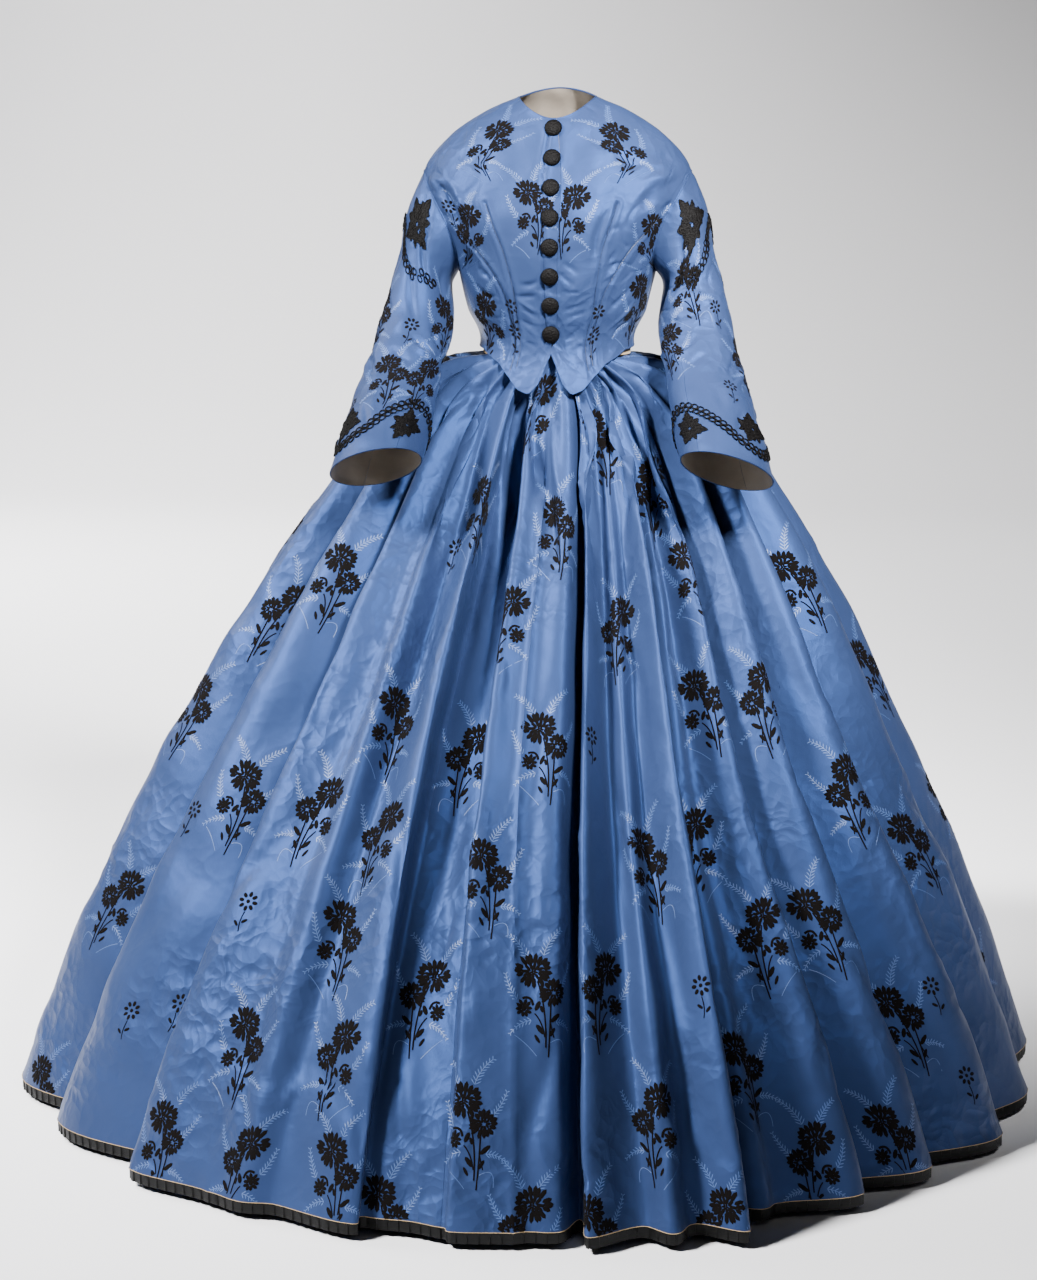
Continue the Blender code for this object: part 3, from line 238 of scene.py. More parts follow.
# Soft troughs and ridges, listed one by one: tilt is in degrees from straight down, towards +X
SKIRT_CREASES = (
    Crease(1.00, 0.33, 0.30, -6, 0.0075, -0.0078),
    Crease(2.00, 0.36, 0.34, 4, 0.0080, -0.0104),
    Crease(3.00, 0.34, 0.38, 0, 0.0085, -0.0112),
    Crease(4.00, 0.37, 0.32, 7, 0.0090, -0.0160),
    Crease(5.00, 0.35, 0.36, -3, 0.0075, -0.0096),
    Crease(6.00, 0.33, 0.30, -6, 0.0080, -0.0144),
    Crease(7.00, 0.36, 0.34, 4, 0.0085, -0.0176),
    Crease(8.00, 0.34, 0.38, 0, 0.0090, -0.0160),
    Crease(9.00, 0.37, 0.32, 7, 0.0075, -0.0112),
    Crease(10.00, 0.35, 0.36, -3, 0.0080, -0.0160),
    Crease(11.00, 0.33, 0.30, -6, 0.0085, -0.0144),
    Crease(12.00, 0.36, 0.34, 4, 0.0090, -0.0112),
    Crease(13.00, 0.34, 0.38, 0, 0.0075, -0.0176),
    Crease(14.00, 0.37, 0.32, 7, 0.0080, -0.0160),
    Crease(15.00, 0.35, 0.36, -3, 0.0085, -0.0144),
    Crease(16.00, 0.33, 0.30, -6, 0.0090, -0.0104),
    Crease(17.00, 0.36, 0.34, 4, 0.0075, -0.0091),
    Crease(3.52, 0.30, 0.20, -6, 0.0050, -0.0050),
    Crease(4.47, 0.28, 0.22, -4, 0.0068, -0.0060),
    Crease(6.55, 0.32, 0.24, 4, 0.0062, -0.0050),
    Crease(7.45, 0.30, 0.26, -3, 0.0056, -0.0065),
    Crease(8.60, 0.36, 0.20, 5, 0.0050, 0.0040),
    Crease(9.50, 0.28, 0.20, 2, 0.0068, -0.0055),
    Crease(10.52, 0.33, 0.26, 6, 0.0062, -0.0060),
    Crease(11.45, 0.36, 0.22, 0, 0.0056, -0.0045),
    Crease(13.50, 0.34, 0.28, 5, 0.0050, -0.0065),
    Crease(14.46, 0.32, 0.24, 8, 0.0068, -0.0060),
    Crease(15.55, 0.30, 0.22, 4, 0.0062, -0.0050),
    Crease(2.50, 0.33, 0.22, -6, 0.0056, -0.0050),
    Crease(16.50, 0.33, 0.22, 6, 0.0050, -0.0050),
    Crease(5.24, 0.895, 0.085, 42, 0.006, -0.0053),
    Crease(5.05, 0.910, 0.070, -28, 0.006, 0.0045),
    Crease(5.45, 0.925, 0.090, 15, 0.007, -0.0045),
    Crease(4.90, 0.880, 0.060, 60, 0.005, -0.0039),
    Crease(5.60, 0.870, 0.075, -50, 0.006, 0.0039),
    Crease(4.45, 0.930, 0.110, 20, 0.009, -0.0051),
    Crease(3.95, 0.940, 0.090, -18, 0.007, -0.0039),
    Crease(6.45, 0.900, 0.160, 8, 0.010, -0.0051),
    Crease(6.70, 0.945, 0.090, -30, 0.007, 0.0039),
    Crease(7.35, 0.930, 0.130, 12, 0.009, -0.0042),
    Crease(8.35, 0.880, 0.260, -4, 0.012, -0.0048),
    Crease(8.55, 0.940, 0.090, 34, 0.007, 0.0039),
    Crease(9.40, 0.955, 0.060, 70, 0.008, -0.0060),
    Crease(9.62, 0.962, 0.055, -62, 0.007, 0.0054),
    Crease(10.30, 0.930, 0.120, -14, 0.009, -0.0054),
    Crease(10.70, 0.915, 0.080, 38, 0.007, 0.0045),
    Crease(10.95, 0.890, 0.150, -8, 0.010, -0.0060),
    Crease(11.40, 0.930, 0.100, 22, 0.008, -0.0045),
    Crease(13.35, 0.880, 0.220, 10, 0.011, -0.0063),
    Crease(13.50, 0.760, 0.200, 6, 0.010, -0.0048),
    Crease(14.40, 0.830, 0.240, 12, 0.012, -0.0066),
    Crease(14.55, 0.640, 0.220, 8, 0.010, -0.0051),
    Crease(15.40, 0.790, 0.280, 14, 0.012, -0.0072),
    Crease(15.55, 0.600, 0.240, 10, 0.011, -0.0054),
    Crease(15.25, 0.930, 0.120, -12, 0.009, -0.0051),
    Crease(16.40, 0.700, 0.260, 12, 0.012, -0.0072),
    Crease(16.60, 0.880, 0.180, -8, 0.011, -0.0060),
    Crease(3.50, 0.760, 0.260, -12, 0.012, -0.0066),
    Crease(3.75, 0.600, 0.220, -8, 0.010, -0.0051),
    Crease(2.60, 0.780, 0.260, -14, 0.012, -0.0069),
    Crease(2.85, 0.620, 0.240, -10, 0.011, -0.0054),
    Crease(1.60, 0.800, 0.240, -12, 0.012, -0.0069),
    Crease(1.80, 0.620, 0.220, -8, 0.011, -0.0057),
    Crease(5.20, 0.560, 0.200, -6, 0.009, -0.0045),
    Crease(5.35, 0.720, 0.220, 4, 0.010, -0.0051),
    Crease(8.45, 0.620, 0.200, 3, 0.009, -0.0039),
    Crease(7.55, 0.760, 0.200, -4, 0.009, -0.0039),
    Crease(10.60, 0.700, 0.260, 5, 0.011, -0.0051),
    Crease(10.90, 0.560, 0.200, 3, 0.009, -0.0042),
    Crease(11.30, 0.800, 0.220, 6, 0.010, -0.0048),
    Crease(18.50, 0.700, 0.260, 8, 0.012, -0.0066),
    Crease(19.45, 0.850, 0.200, -10, 0.011, -0.0060),
    Crease(20.60, 0.620, 0.240, 8, 0.011, -0.0057),
    Crease(21.40, 0.820, 0.220, 12, 0.012, -0.0063),
    Crease(22.50, 0.700, 0.260, -8, 0.012, -0.0060),
    Crease(23.55, 0.880, 0.160, 14, 0.010, -0.0054),
    Crease(24.40, 0.640, 0.240, -8, 0.011, -0.0060),
    Crease(25.50, 0.800, 0.240, 10, 0.012, -0.0063),
    Crease(26.60, 0.700, 0.220, -12, 0.011, -0.0057),
    Crease(27.40, 0.860, 0.200, 10, 0.011, -0.0060),
    Crease(28.50, 0.640, 0.240, 8, 0.012, -0.0060),
)
# Under the waist behind: a deep trough at each fold's edge and a split beside it, uneven by turns
BACK_TROUGHS = ((0.37, 0.32, 6), (0.35, 0.36, -2), (0.33, 0.30, -5), (0.36, 0.34, 3), (0.34, 0.38, 0))
TROUGH_SIZES = ((0.0085, -0.0117), (0.0090, -0.0104), (0.0075, -0.0091), (0.0080, -0.0130))
BACK_SPLITS = ((0.34, 0.24, 2), (0.36, 0.22, -3), (0.30, 0.20, 4), (0.32, 0.26, -5))
SPLIT_WIDTHS = 0.0052, 0.0062, 0.0057
SPLIT_DEPTHS = -0.0060, -0.0055, -0.0050, -0.0065
SPLIT_PLACE = 0.46


def back_creases():
    creases = []
    for k in range(BACK_FOLDS):
        u = len(FRONT_FOLDS) + k
        split = *BACK_SPLITS[k % 4], SPLIT_WIDTHS[k % 3], SPLIT_DEPTHS[k % 4]
        creases.append(Crease(u, *BACK_TROUGHS[k % 5], *TROUGH_SIZES[k % 4]))
        creases.append(Crease(u + SPLIT_PLACE, *split))
    return creases


def creased(across, down, middle, crease):
    """How far one crease moves each point: its own depth along its line, fading to its ends."""
    row, column = middle
    x = across - across[:, column : column + 1]
    y = down - down[row, column]
    c, s = math.cos(math.radians(crease.tilt)), math.sin(math.radians(crease.tilt))
    along_it, beside = x * s + y * c, x * c - y * s
    bend = 0.10 * crease.length * np.sin(2.2 * along_it / crease.length + 9 * crease.u)
    window = np.clip(1 - (2 * along_it / crease.length) ** 2, 0, 1) ** 1.5
    return crease.depth * window * np.exp(-(((beside + bend) / crease.width) ** 2))


def mesh_piece(name, points, faces, materials, uv=None, face_materials=None, smooth_angle=50):
    """A piece of the dress, riding on its body, from points and faces in metres."""
    if not isinstance(faces, list):
        faces = faces.tolist()
    mesh = bpy.data.meshes.new(name)
    mesh.from_pydata(np.asarray(points, float).tolist(), [], faces)
    for material in materials:
        mesh.materials.append(material)
    if uv is not None:
        layer = mesh.uv_layers.new(name="UVMap")
        corner = np.empty(len(mesh.loops), np.int32)
        mesh.loops.foreach_get("vertex_index", corner)
        layer.data.foreach_set("uv", np.asarray(uv, np.float32)[corner].ravel())
    if face_materials is not None:
        mesh.polygons.foreach_set("material_index", np.asarray(face_materials, np.int32))
    mesh.shade_smooth()
    mesh.set_sharp_from_angle(angle=math.radians(smooth_angle))
    piece = bpy.data.objects.new(name, mesh)
    bpy.context.scene.collection.objects.link(piece)
    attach(piece, "root")
    return piece


def shell(name, outer, thickness, materials, across, down, normals, closed=False):
    """A thin closed shell on a grid: the outside takes the first material, the inside the last."""
    rows, columns = outer.shape[:2]
    inner = outer - thickness * normals
    points = np.concatenate([outer.reshape(-1, 3), inner.reshape(-1, 3)])
    uv = np.stack([across, -down], -1).reshape(-1, 2)
    top = np.arange(columns if closed else columns - 1)
    i, j = np.meshgrid(np.arange(rows - 1), top, indexing="ij")
    a, d = i * columns + j, i * columns + (j + 1) % columns
    outside = np.stack([a, a + columns, d + columns, d], -1).reshape(-1, 4)
    back = rows * columns
    after = (top + 1) % columns
    low = (rows - 1) * columns
    rims = [np.stack([after, back + after, back + top, top], -1)]
    rims.append(np.stack([low + top, back + low + top, back + low + after, low + after], -1))
    if not closed:
        side = np.arange(rows - 1) * columns
        rims.append(np.stack([side, back + side, back + side + columns, side + columns], -1))
        side = side + columns - 1
        rims.append(np.stack([side + columns, back + side + columns, back + side, side], -1))
    faces = np.concatenate([outside, back + outside[:, ::-1], *rims])
    inside = np.zeros(len(faces), np.int32)
    inside[len(outside) : 2 * len(outside)] = len(materials) - 1
    return mesh_piece(name, points, faces, materials, np.concatenate([uv, uv]), inside)


def linear(colour):
    """An sRGB hex colour turned linear, with alpha 1."""
    values = [int(colour[i : i + 2], 16) / 255 for i in (0, 2, 4)]
    return [v / 12.92 if v <= 0.04045 else ((v + 0.055) / 1.055) ** 2.4 for v in values] + [1.0]


def add_node(material, kind, settings=None, inputs=None, links=None):
    """One node, with its settings, its sockets' values and what is linked into its sockets."""
    node = material.node_tree.nodes.new(kind)
    for name, value in (settings or {}).items():
        setattr(node, name, value)
    for name, value in (inputs or {}).items():
        node.inputs[name].default_value = value
    for name, source in (links or {}).items():
        material.node_tree.links.new(source, node.inputs[name])
    return node


def new_material(name, **sockets):
    """A material and its shader, with the values of the shader's own sockets."""
    material = bpy.data.materials.new(name)
    material.use_nodes = True
    shader = material.node_tree.nodes["Principled BSDF"]
    for socket, value in sockets.items():
        shader.inputs[socket.replace("_", " ")].default_value = value
    return material, shader


def blended(material, factor, low, high):
    """A colour that goes from one sRGB colour to another as the factor goes from 0 to 1."""
    ends = {6: linear(low), 7: linear(high)}
    return add_node(material, "ShaderNodeMix", {"data_type": "RGBA"}, ends, {0: factor}).outputs[2]


def finish(material, shader, colour, bump=None):
    """Links the last colour and bump into the shader, where there are any."""
    if colour:
        material.node_tree.links.new(colour, shader.inputs["Base Color"])
    if bump:
        material.node_tree.links.new(bump.outputs["Normal"], shader.inputs["Normal"])
    return material


def every(millimetres):
    """The scale of a noise or cell texture with its features this far apart."""
    return 1000 / millimetres


def bands_every(millimetres):
    """The scale of a wave texture with its bands this far apart."""
    return 100 * math.pi / millimetres


def silk_taffeta():
    """Blue silk taffeta, a crisp plain weave: a low even shine that pales to sky blue on the
    folds. Its cross ribs are drawn about twice as coarse as real ones, to show. Pressed-in
    crumples 16 and 37 mm across break up the light.
    """
    material, shader = new_material(
        "blue_silk_taffeta",
        Roughness=0.45,
        Specular_Tint=linear("548AF2"),
        Sheen_Weight=0.03,
        Sheen_Roughness=0.35,
        Sheen_Tint=linear("6A9CF0"),
        Specular_IOR_Level=0.46,
    )
    place = add_node(material, "ShaderNodeTexCoord")
    cloth, space = place.outputs["UV"], place.outputs["Object"]
    noise = "ShaderNodeTexNoise"
    tone = add_node(material, noise, None, {"Scale": every(143), "Detail": 3.0}, {"Vector": space})
    ribs = add_node(
        material,
        "ShaderNodeTexWave",
        {"wave_type": "BANDS", "bands_direction": "Y"},
        {"Scale": bands_every(0.748), "Distortion": 1.5, "Detail": 1.0, "Detail Scale": 2.0},
        {"Vector": cloth},
    )
    shallow = {"Strength": 0.16, "Distance": 0.0003}
    bump = add_node(material, "ShaderNodeBump", None, shallow, {"Height": ribs.outputs["Fac"]})
    drift = add_node(material, noise, None, {"Scale": every(71.43), "Detail": 2.0}, {"Vector": space})
    bent = add_node(
        material,
        "ShaderNodeVectorMath",
        {"operation": "MULTIPLY_ADD"},
        {1: (0.05, 0.05, 0.05)},
        {0: drift.outputs["Color"], 2: space},
    )
    where = add_node(material, noise, None, {"Scale": every(200), "Detail": 1.5}, {"Vector": space})
    amount = add_node(
        material,
        "ShaderNodeMapRange",
        None,
        {"From Min": 0.42, "From Max": 0.66, "To Min": 0.12, "To Max": 0.9},
        {"Value": where.outputs["Fac"]},
    )
    for size, depth in ((16.129, 0.0022), (37.037, 0.0050)):
        facets = add_node(
            material,
            "ShaderNodeTexVoronoi",
            {"feature": "F1"},
            {"Scale": every(size)},
            {"Vector": bent.outputs[0]},
        )
        bump = add_node(
            material,
            "ShaderNodeBump",
            None,
            {"Distance": depth},
            {
                "Height": facets.outputs["Distance"],
                "Strength": amount.outputs["Result"],
                "Normal": bump.outputs["Normal"],
            },
        )
    return finish(material, shader, blended(material, tone.outputs["Fac"], "1E2841", "283555"), bump)


blue_silk = silk_taffeta()
skirt_u = np.linspace(0, FOLD_COUNT, FOLD_COUNT * COLUMNS_A_FOLD, endpoint=False)
skirt_step = np.linspace(0, 1, SKIRT_ROWS)
skirt = skirt_surface(skirt_u[None, :], skirt_step[:, None])
skirt_across, skirt_down = lengths(np.concatenate([skirt, skirt[:, :1]], axis=1))
skirt_across, skirt_down = skirt_across[:, :-1], skirt_down[:, :-1]
moved = np.zeros(skirt.shape[:2])
for crease in (*SKIRT_CREASES, *back_creases()):
    middle = int(crease.step * (SKIRT_ROWS - 1)), int(crease.u * COLUMNS_A_FOLD)
    near = np.abs(skirt_u - crease.u) < 2
    moved[:, near] += creased(
        skirt_across[:, near], skirt_down[:, near], (middle[0], int(np.sum(near[: middle[1]]))), crease
    )
below_hips = smooth((skirt_step - 0.15) / 0.5)[:, None]
moved += below_hips * SKIRT_SWAY * field(skirt, seed=11, size=0.11)
moved += below_hips * crumple(skirt, seed=21, size=0.12, depth=-0.0034)
moved += below_hips * crumple(skirt, seed=31, size=0.07, depth=0.0018)
moved *= smooth((1 - skirt_step) / 0.02 + 0.15)[:, None]


def skirt_normals(points):
    """Outward normals that are level along the hem, so the wall stands on a level edge."""
    out = grid_normals(points, True)
    out[-1, :, 2] = 0
    return unit(out)


skirt = skirt + skirt_normals(skirt) * moved[..., None]
skirt_out = skirt_normals(skirt)


def drawn_back(points):
    """The two end columns moved in along the rows, to leave a seam's gap."""
    points = points.copy()
    for end, beside in ((0, 1), (-1, -2)):
        points[:, end] += SEAM_GAP / 2 * unit(points[:, beside] - points[:, end])
    return points


for n in range(len(SEAM_FOLDS) - 1):
    first, last = SEAM_FOLDS[n] * COLUMNS_A_FOLD, SEAM_FOLDS[n + 1] * COLUMNS_A_FOLD
    columns = np.arange(first, last + 1) % len(skirt_u)
    outer, out = drawn_back(skirt[:, columns]), skirt_out[:, columns]
    across, down = lengths(outer)
    width = shell(f"silk_width_{n + 1}", outer, SKIRT_WALL, [blue_silk], across, down, out)
    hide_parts(f"skirt_width_{n + 1}")
    shown = float(np.sum(np.diff(across, axis=1)[:-1] * np.diff(down, axis=0)[:, :-1]))
    flat = math.ceil(100 * across[-1].max()) / 100, math.ceil(100 * down.max()) / 100
    area = min(shown, flat[0] * flat[1])


# The bodice
# Two fronts and a back of the same silk, lined with cotton, darted and cut to a double point in
# front. The fronts lap right over left and close with buttons.

BODICE_WALL = 0.0020
SEAM_ANGLE = 90.0
UNDERARM, SHOULDER = 0.34, 0.80
ARMHOLE_ANGLE, ARMHOLE_HALF_ANGLE = 90.0, 29.0
ARMHOLE_STEP, ARMHOLE_HALF_STEP = 0.51, 0.17
CENTRE_UNDERARM, CENTRE_SHOULDER = 0.36, 0.76
LAP_EDGE_ANGLE = 4.2
PRESSED_SEAM_DEPTH, PRESSED_SEAM_WIDTH = 0.0022, 0.0020
BODICE_ROWS = (64, 84, 22)
BODICE_COLUMNS = 74

Body = namedtuple("Body", "z_front z_side z_back side front back")
BODY_LEVELS = (
    Body(-0.075, -0.075, -0.075, 0.166, 0.1235, 0.118),
    Body(0.000, 0.000, 0.000, 0.111, 0.0960, 0.0865),
    Body(0.056, 0.054, 0.056, 0.1270, 0.1080, 0.0940),
    Body(0.098, 0.092, 0.098, 0.1365, 0.1175, 0.0990),
    Body(0.140, 0.130, 0.140, 0.1480, 0.1225, 0.1040),
    Body(0.180, 0.172, 0.180, 0.1720, 0.1195, 0.1080),
    Body(0.213, 0.215, 0.220, 0.1895, 0.1095, 0.1090),
    Body(0.243, 0.256, 0.260, 0.1850, 0.0970, 0.1050),
    Body(0.270, 0.297, 0.295, 0.1500, 0.0840, 0.0920),
    Body(0.295, 0.329, 0.330, 0.1020, 0.0720, 0.0740),
    Body(0.3185, 0.3490, 0.362, 0.0550, 0.0600, 0.0500),
)
Edge = namedtuple("Edge", "angle z")
LOWER_EDGE = (
    Edge(0, -0.002),
    Edge(4, -0.020),
    Edge(7.5, -0.045),
    Edge(11.5, -0.058),
    Edge(18, -0.052),
    Edge(26, -0.036),
    Edge(38, -0.018),
    Edge(64, 0.000),
    Edge(97, 0.004),
    Edge(130, 0.001),
    Edge(180, -0.003),
)
# Seams pressed flat, each a run of places on the body by angle and height
Place = namedtuple("Place", "angle z")
DARTS = {
    "inner_right": (
        Place(-29.5, 0.204),
        Place(-27.4, 0.147),
        Place(-23.2, 0.084),
        Place(-23.6, 0.029),
        Place(-23.6, -0.024),
    ),
    "outer_right": (
        Place(-53.5, 0.168),
        Place(-43.1, 0.131),
        Place(-33.6, 0.098),
        Place(-28.8, 0.062),
        Place(-27.6, -0.030),
    ),
    "inner_left": (
        Place(29.6, 0.204),
        Place(28.6, 0.127),
        Place(27.4, 0.050),
        Place(25.6, 0.010),
        Place(24.6, -0.028),
    ),
    "outer_left": (
        Place(56.8, 0.181),
        Place(42.6, 0.118),
        Place(34.0, 0.077),
        Place(31.0, 0.030),
        Place(28.6, -0.022),
    ),
    "button_stand": (Place(-3.4, 0.300), Place(-3.6, 0.150), Place(-3.6, 0.012)),
}
BACK_SEAMS = {
    "side_left": (
        Place(142, 0.300),
        Place(138, 0.210),
        Place(150, 0.100),
        Place(157, 0.030),
        Place(158, -0.002),
    ),
    "side_right": (
        Place(218, 0.300),
        Place(222, 0.210),
        Place(210, 0.100),
        Place(203, 0.030),
        Place(202, -0.002),
    ),
}
Pull = namedtuple("Pull", "angle z length tilt width depth")
# Drag lines where the silk is strained: tilt is in degrees from straight down, towards +X
BODICE_PULLS = (
    Pull(14, 0.082, 0.036, 76, 0.0026, -0.0019),
    Pull(17, 0.070, 0.040, 82, 0.0030, 0.0019),
    Pull(13, 0.059, 0.036, 84, 0.0026, -0.0022),
    Pull(16, 0.048, 0.040, 88, 0.0028, -0.0019),
    Pull(13, 0.038, 0.034, 86, 0.0024, 0.0019),
    Pull(17, 0.029, 0.036, 92, 0.0026, -0.0022),
    Pull(14, 0.018, 0.034, 90, 0.0024, -0.0016),
    Pull(18, 0.006, 0.030, 78, 0.0026, 0.0019),
    Pull(16, -0.008, 0.028, 66, 0.0026, -0.0022),
    Pull(19, -0.022, 0.026, 60, 0.0026, 0.0016),
    Pull(9, 0.098, 0.034, 52, 0.0030, -0.0026),
    Pull(11, 0.112, 0.040, 40, 0.0034, -0.0022),
    Pull(-13, 0.094, 0.040, 118, 0.0034, -0.0029),
    Pull(-15, 0.074, 0.044, 112, 0.0032, -0.0029),
    Pull(-14, 0.060, 0.032, 100, 0.0026, 0.0019),
    Pull(-12, 0.048, 0.030, 96, 0.0026, -0.0019),
    Pull(-15, 0.036, 0.030, 92, 0.0024, -0.0019),
    Pull(-12, 0.024, 0.028, 88, 0.0024, 0.0016),
    Pull(-15, 0.010, 0.028, 96, 0.0026, -0.0019),
    Pull(-13, -0.006, 0.024, 104, 0.0026, -0.0016),
    Pull(-16, -0.022, 0.024, 112, 0.0026, 0.0016),
    Pull(26, 0.160, 0.070, -12, 0.0075, -0.0042),
    Pull(36, 0.128, 0.026, 70, 0.0030, -0.0035),
    Pull(37, 0.117, 0.030, 76, 0.0030, -0.0032),
    Pull(36, 0.104, 0.028, 62, 0.0030, 0.0026),
    Pull(47, 0.074, 0.046, 66, 0.0042, -0.0038),
    Pull(52, 0.050, 0.040, 74, 0.0042, 0.0032),
    Pull(56, 0.034, 0.036, 62, 0.0038, -0.0035),
    Pull(38, 0.262, 0.060, 24, 0.0090, -0.0045),
    Pull(52, 0.238, 0.070, 34, 0.0100, 0.0045),
    Pull(47, 0.214, 0.060, 18, 0.0080, -0.0048),
    Pull(62, 0.190, 0.050, 46, 0.0060, -0.0048),
    Pull(57, 0.262, 0.050, 52, 0.0060, -0.0042),
    Pull(-52, 0.205, 0.085, -16, 0.0070, -0.0077),
    Pull(-47, 0.212, 0.080, -14, 0.0070, 0.0048),
    Pull(-60, 0.232, 0.060, -26, 0.0080, 0.0048),
    Pull(-62, 0.176, 0.050, -46, 0.0060, -0.0048),
    Pull(-36, 0.262, 0.060, -24, 0.0090, -0.0038),
    Pull(-45, 0.078, 0.040, -66, 0.0040, -0.0035),
    Pull(-52, 0.050, 0.038, -74, 0.0040, 0.0029),
    Pull(-44, 0.108, 0.030, -64, 0.0036, -0.0029),
    Pull(118, 0.205, 0.080, 20, 0.0080, -0.0051),
    Pull(128, 0.226, 0.070, 30, 0.0090, 0.0045),
    Pull(122, 0.110, 0.050, 60, 0.0050, -0.0038),
    Pull(135, 0.060, 0.050, 78, 0.0044, -0.0032),
    Pull(160, 0.040, 0.046, 88, 0.0040, 0.0026),
    Pull(172, 0.022, 0.040, 92, 0.0036, -0.0026),
    Pull(190, 0.034, 0.044, 90, 0.0038, -0.0026),
    Pull(206, 0.056, 0.050, 100, 0.0044, 0.0029),
    Pull(226, 0.074, 0.050, 104, 0.0046, -0.0035),
    Pull(240, 0.118, 0.050, 118, 0.0050, -0.0038),
    Pull(238, 0.214, 0.080, -22, 0.0080, -0.0051),
    Pull(228, 0.234, 0.070, -32, 0.0090, 0.0045),
)


def body(angle, step):
    """A point of the bodice's outside, at a step from 0 below the waist to 1 at the neck."""
    level = np.moveaxis(along(BODY_LEVELS, step), -1, 0)
    c, s = np.cos(np.radians(angle)), np.sin(np.radians(angle))
    depth = np.where(c > 0, level[4], level[5])
    z = np.where(c > 0, level[0], level[2]) * c * c + level[1] * s * s
    return np.stack([level[3] * s, -depth * c, z], -1)


def step_at(angle, z):
    steps = np.linspace(0, 1, 401)
    return float(np.interp(z, body(np.full(401, float(angle)), steps)[:, 2], steps))


EDGE_ANGLES = np.linspace(0, 180, 721)
EDGE_STEPS = np.array([step_at(a, np.interp(a, *np.array(LOWER_EDGE).T)) for a in EDGE_ANGLES])


def lower_edge(angle):
    return np.interp(np.abs(angle), EDGE_ANGLES, EDGE_STEPS)


def armhole(turn):
    """The angle and step of the armhole's edge: turn 0 is at the shoulder, 90 in front."""
    angle = ARMHOLE_ANGLE - ARMHOLE_HALF_ANGLE * np.sin(np.radians(turn))
    return angle, ARMHOLE_STEP + ARMHOLE_HALF_STEP * np.cos(np.radians(turn))


def panel_side(v, in_front):
    """The edge of a panel away from the body's centre: side seam, armhole, shoulder seam."""
    over = 0 if in_front else 360
    if v <= UNDERARM:
        start = lower_edge(SEAM_ANGLE)
        return SEAM_ANGLE, start + (armhole(180)[1] - start) * v / UNDERARM
    if v < SHOULDER:
        return armhole(180 + (over - 180) * (v - UNDERARM) / (SHOULDER - UNDERARM))
    start = armhole(over)[1]
    return SEAM_ANGLE, start + (1 - start) * (v - SHOULDER) / (1 - SHOULDER)


def panel(side, centre, in_front):
    """The angles and steps of a panel's points, rows running down."""
    below, beside, above = BODICE_ROWS
    rows = [
        *np.linspace(0, UNDERARM, below + 1)[:-1],
        *np.linspace(UNDERARM, SHOULDER, beside + 1),
        *np.linspace(SHOULDER, 1, above + 1)[1:],
    ]
    u = np.linspace(0, 1, BODICE_COLUMNS)
    grid = np.zeros((len(rows), BODICE_COLUMNS, 2))
    for i, v in enumerate(rows):
        end_angle, end_step = panel_side(v, in_front)
        heights = lower_edge(centre), CENTRE_UNDERARM, CENTRE_SHOULDER, 1
        step = np.interp(v, (0, UNDERARM, SHOULDER, 1), heights)
        start_angle = centre
        if in_front:
            z = float(body(np.array(0.0), np.array(step))[2])
            start_angle = side * LAP_EDGE_ANGLE * float(smooth((z - 0.002) / 0.03))
        angle = start_angle + (end_angle - start_angle) * u
        plain = lower_edge(centre) + (lower_edge(SEAM_ANGLE) - lower_edge(centre)) * u
        bottom = lower_edge(np.maximum(angle, 0)) - plain
        grid[i, :, 0] = angle
        grid[i, :, 1] = step + (end_step - step) * u + bottom * (1 - v) ** 2.5
    return grid[::-1]


def seam_line(places):
    """Points on the body along a seam, every millimetre or so."""
    angle, z = np.array(places).T
    share = np.linspace(0, 1, 240)
    angle, z = along(np.stack([angle, z], -1), share).T
    return np.array([body(np.array(a), np.array(step_at(a, h))) for a, h in zip(angle, z)])


def pressed_seam(points, line):
    """A narrow trough along a seam with a soft ridge on each side of it."""
    depth, width = PRESSED_SEAM_DEPTH, PRESSED_SEAM_WIDTH
    flat = points.reshape(-1, 3)
    near = np.full(len(flat), 1.0)
    for start in range(0, len(line), 24):
        part = line[start : start + 24]
        near = np.minimum(near, np.linalg.norm(flat[:, None] - part[None], axis=-1).min(axis=1))
    near = near.reshape(points.shape[:2])
    trough = np.exp(-((near / width) ** 2))
    ridges = np.exp(-(((near - 2.6 * width) / (1.6 * width)) ** 2))
    return 0.5 * depth * ridges - depth * trough


def finished_panel(grid, seams):
    """A panel's points with its seams and pulls, and their normals."""
    points = body(grid[..., 0], grid[..., 1])
    out = grid_normals(points, False)
    across, down = lengths(points)
    moved = 0.0007 * field(points, seed=41, size=0.05)
    moved += crumple(points, seed=43, size=0.05, depth=-0.0014)
    for places in seams.values():
        moved += pressed_seam(points, seam_line(places))
    for pull in BODICE_PULLS:
        middle = body(np.array(float(pull.angle)), np.array(step_at(pull.angle, pull.z)))
        far = np.linalg.norm(points - middle, axis=-1)
        if far.min() < 0.02:
            place = np.unravel_index(int(far.argmin()), far.shape)
            crease = Crease(pull.angle, 0, pull.length, pull.tilt, pull.width, pull.depth)
            moved += creased(across, down, place, crease)
    rim = np.minimum(down, down[-1] - down)
    rim = np.minimum(rim, np.minimum(across, across[:, -1:] - across))
    points = points + out * (moved * smooth(rim / 0.006))[..., None]
    return points, grid_normals(points, False)


def mottled(material, place, size, detail, low, high):
    """A colour that wanders between two, in patches of this size in millimetres."""
    inputs = {"Scale": every(size), "Detail": detail}
    tone = add_node(material, "ShaderNodeTexNoise", None, inputs, {"Vector": place.outputs["Object"]})
    return blended(material, tone.outputs["Fac"], low, high)


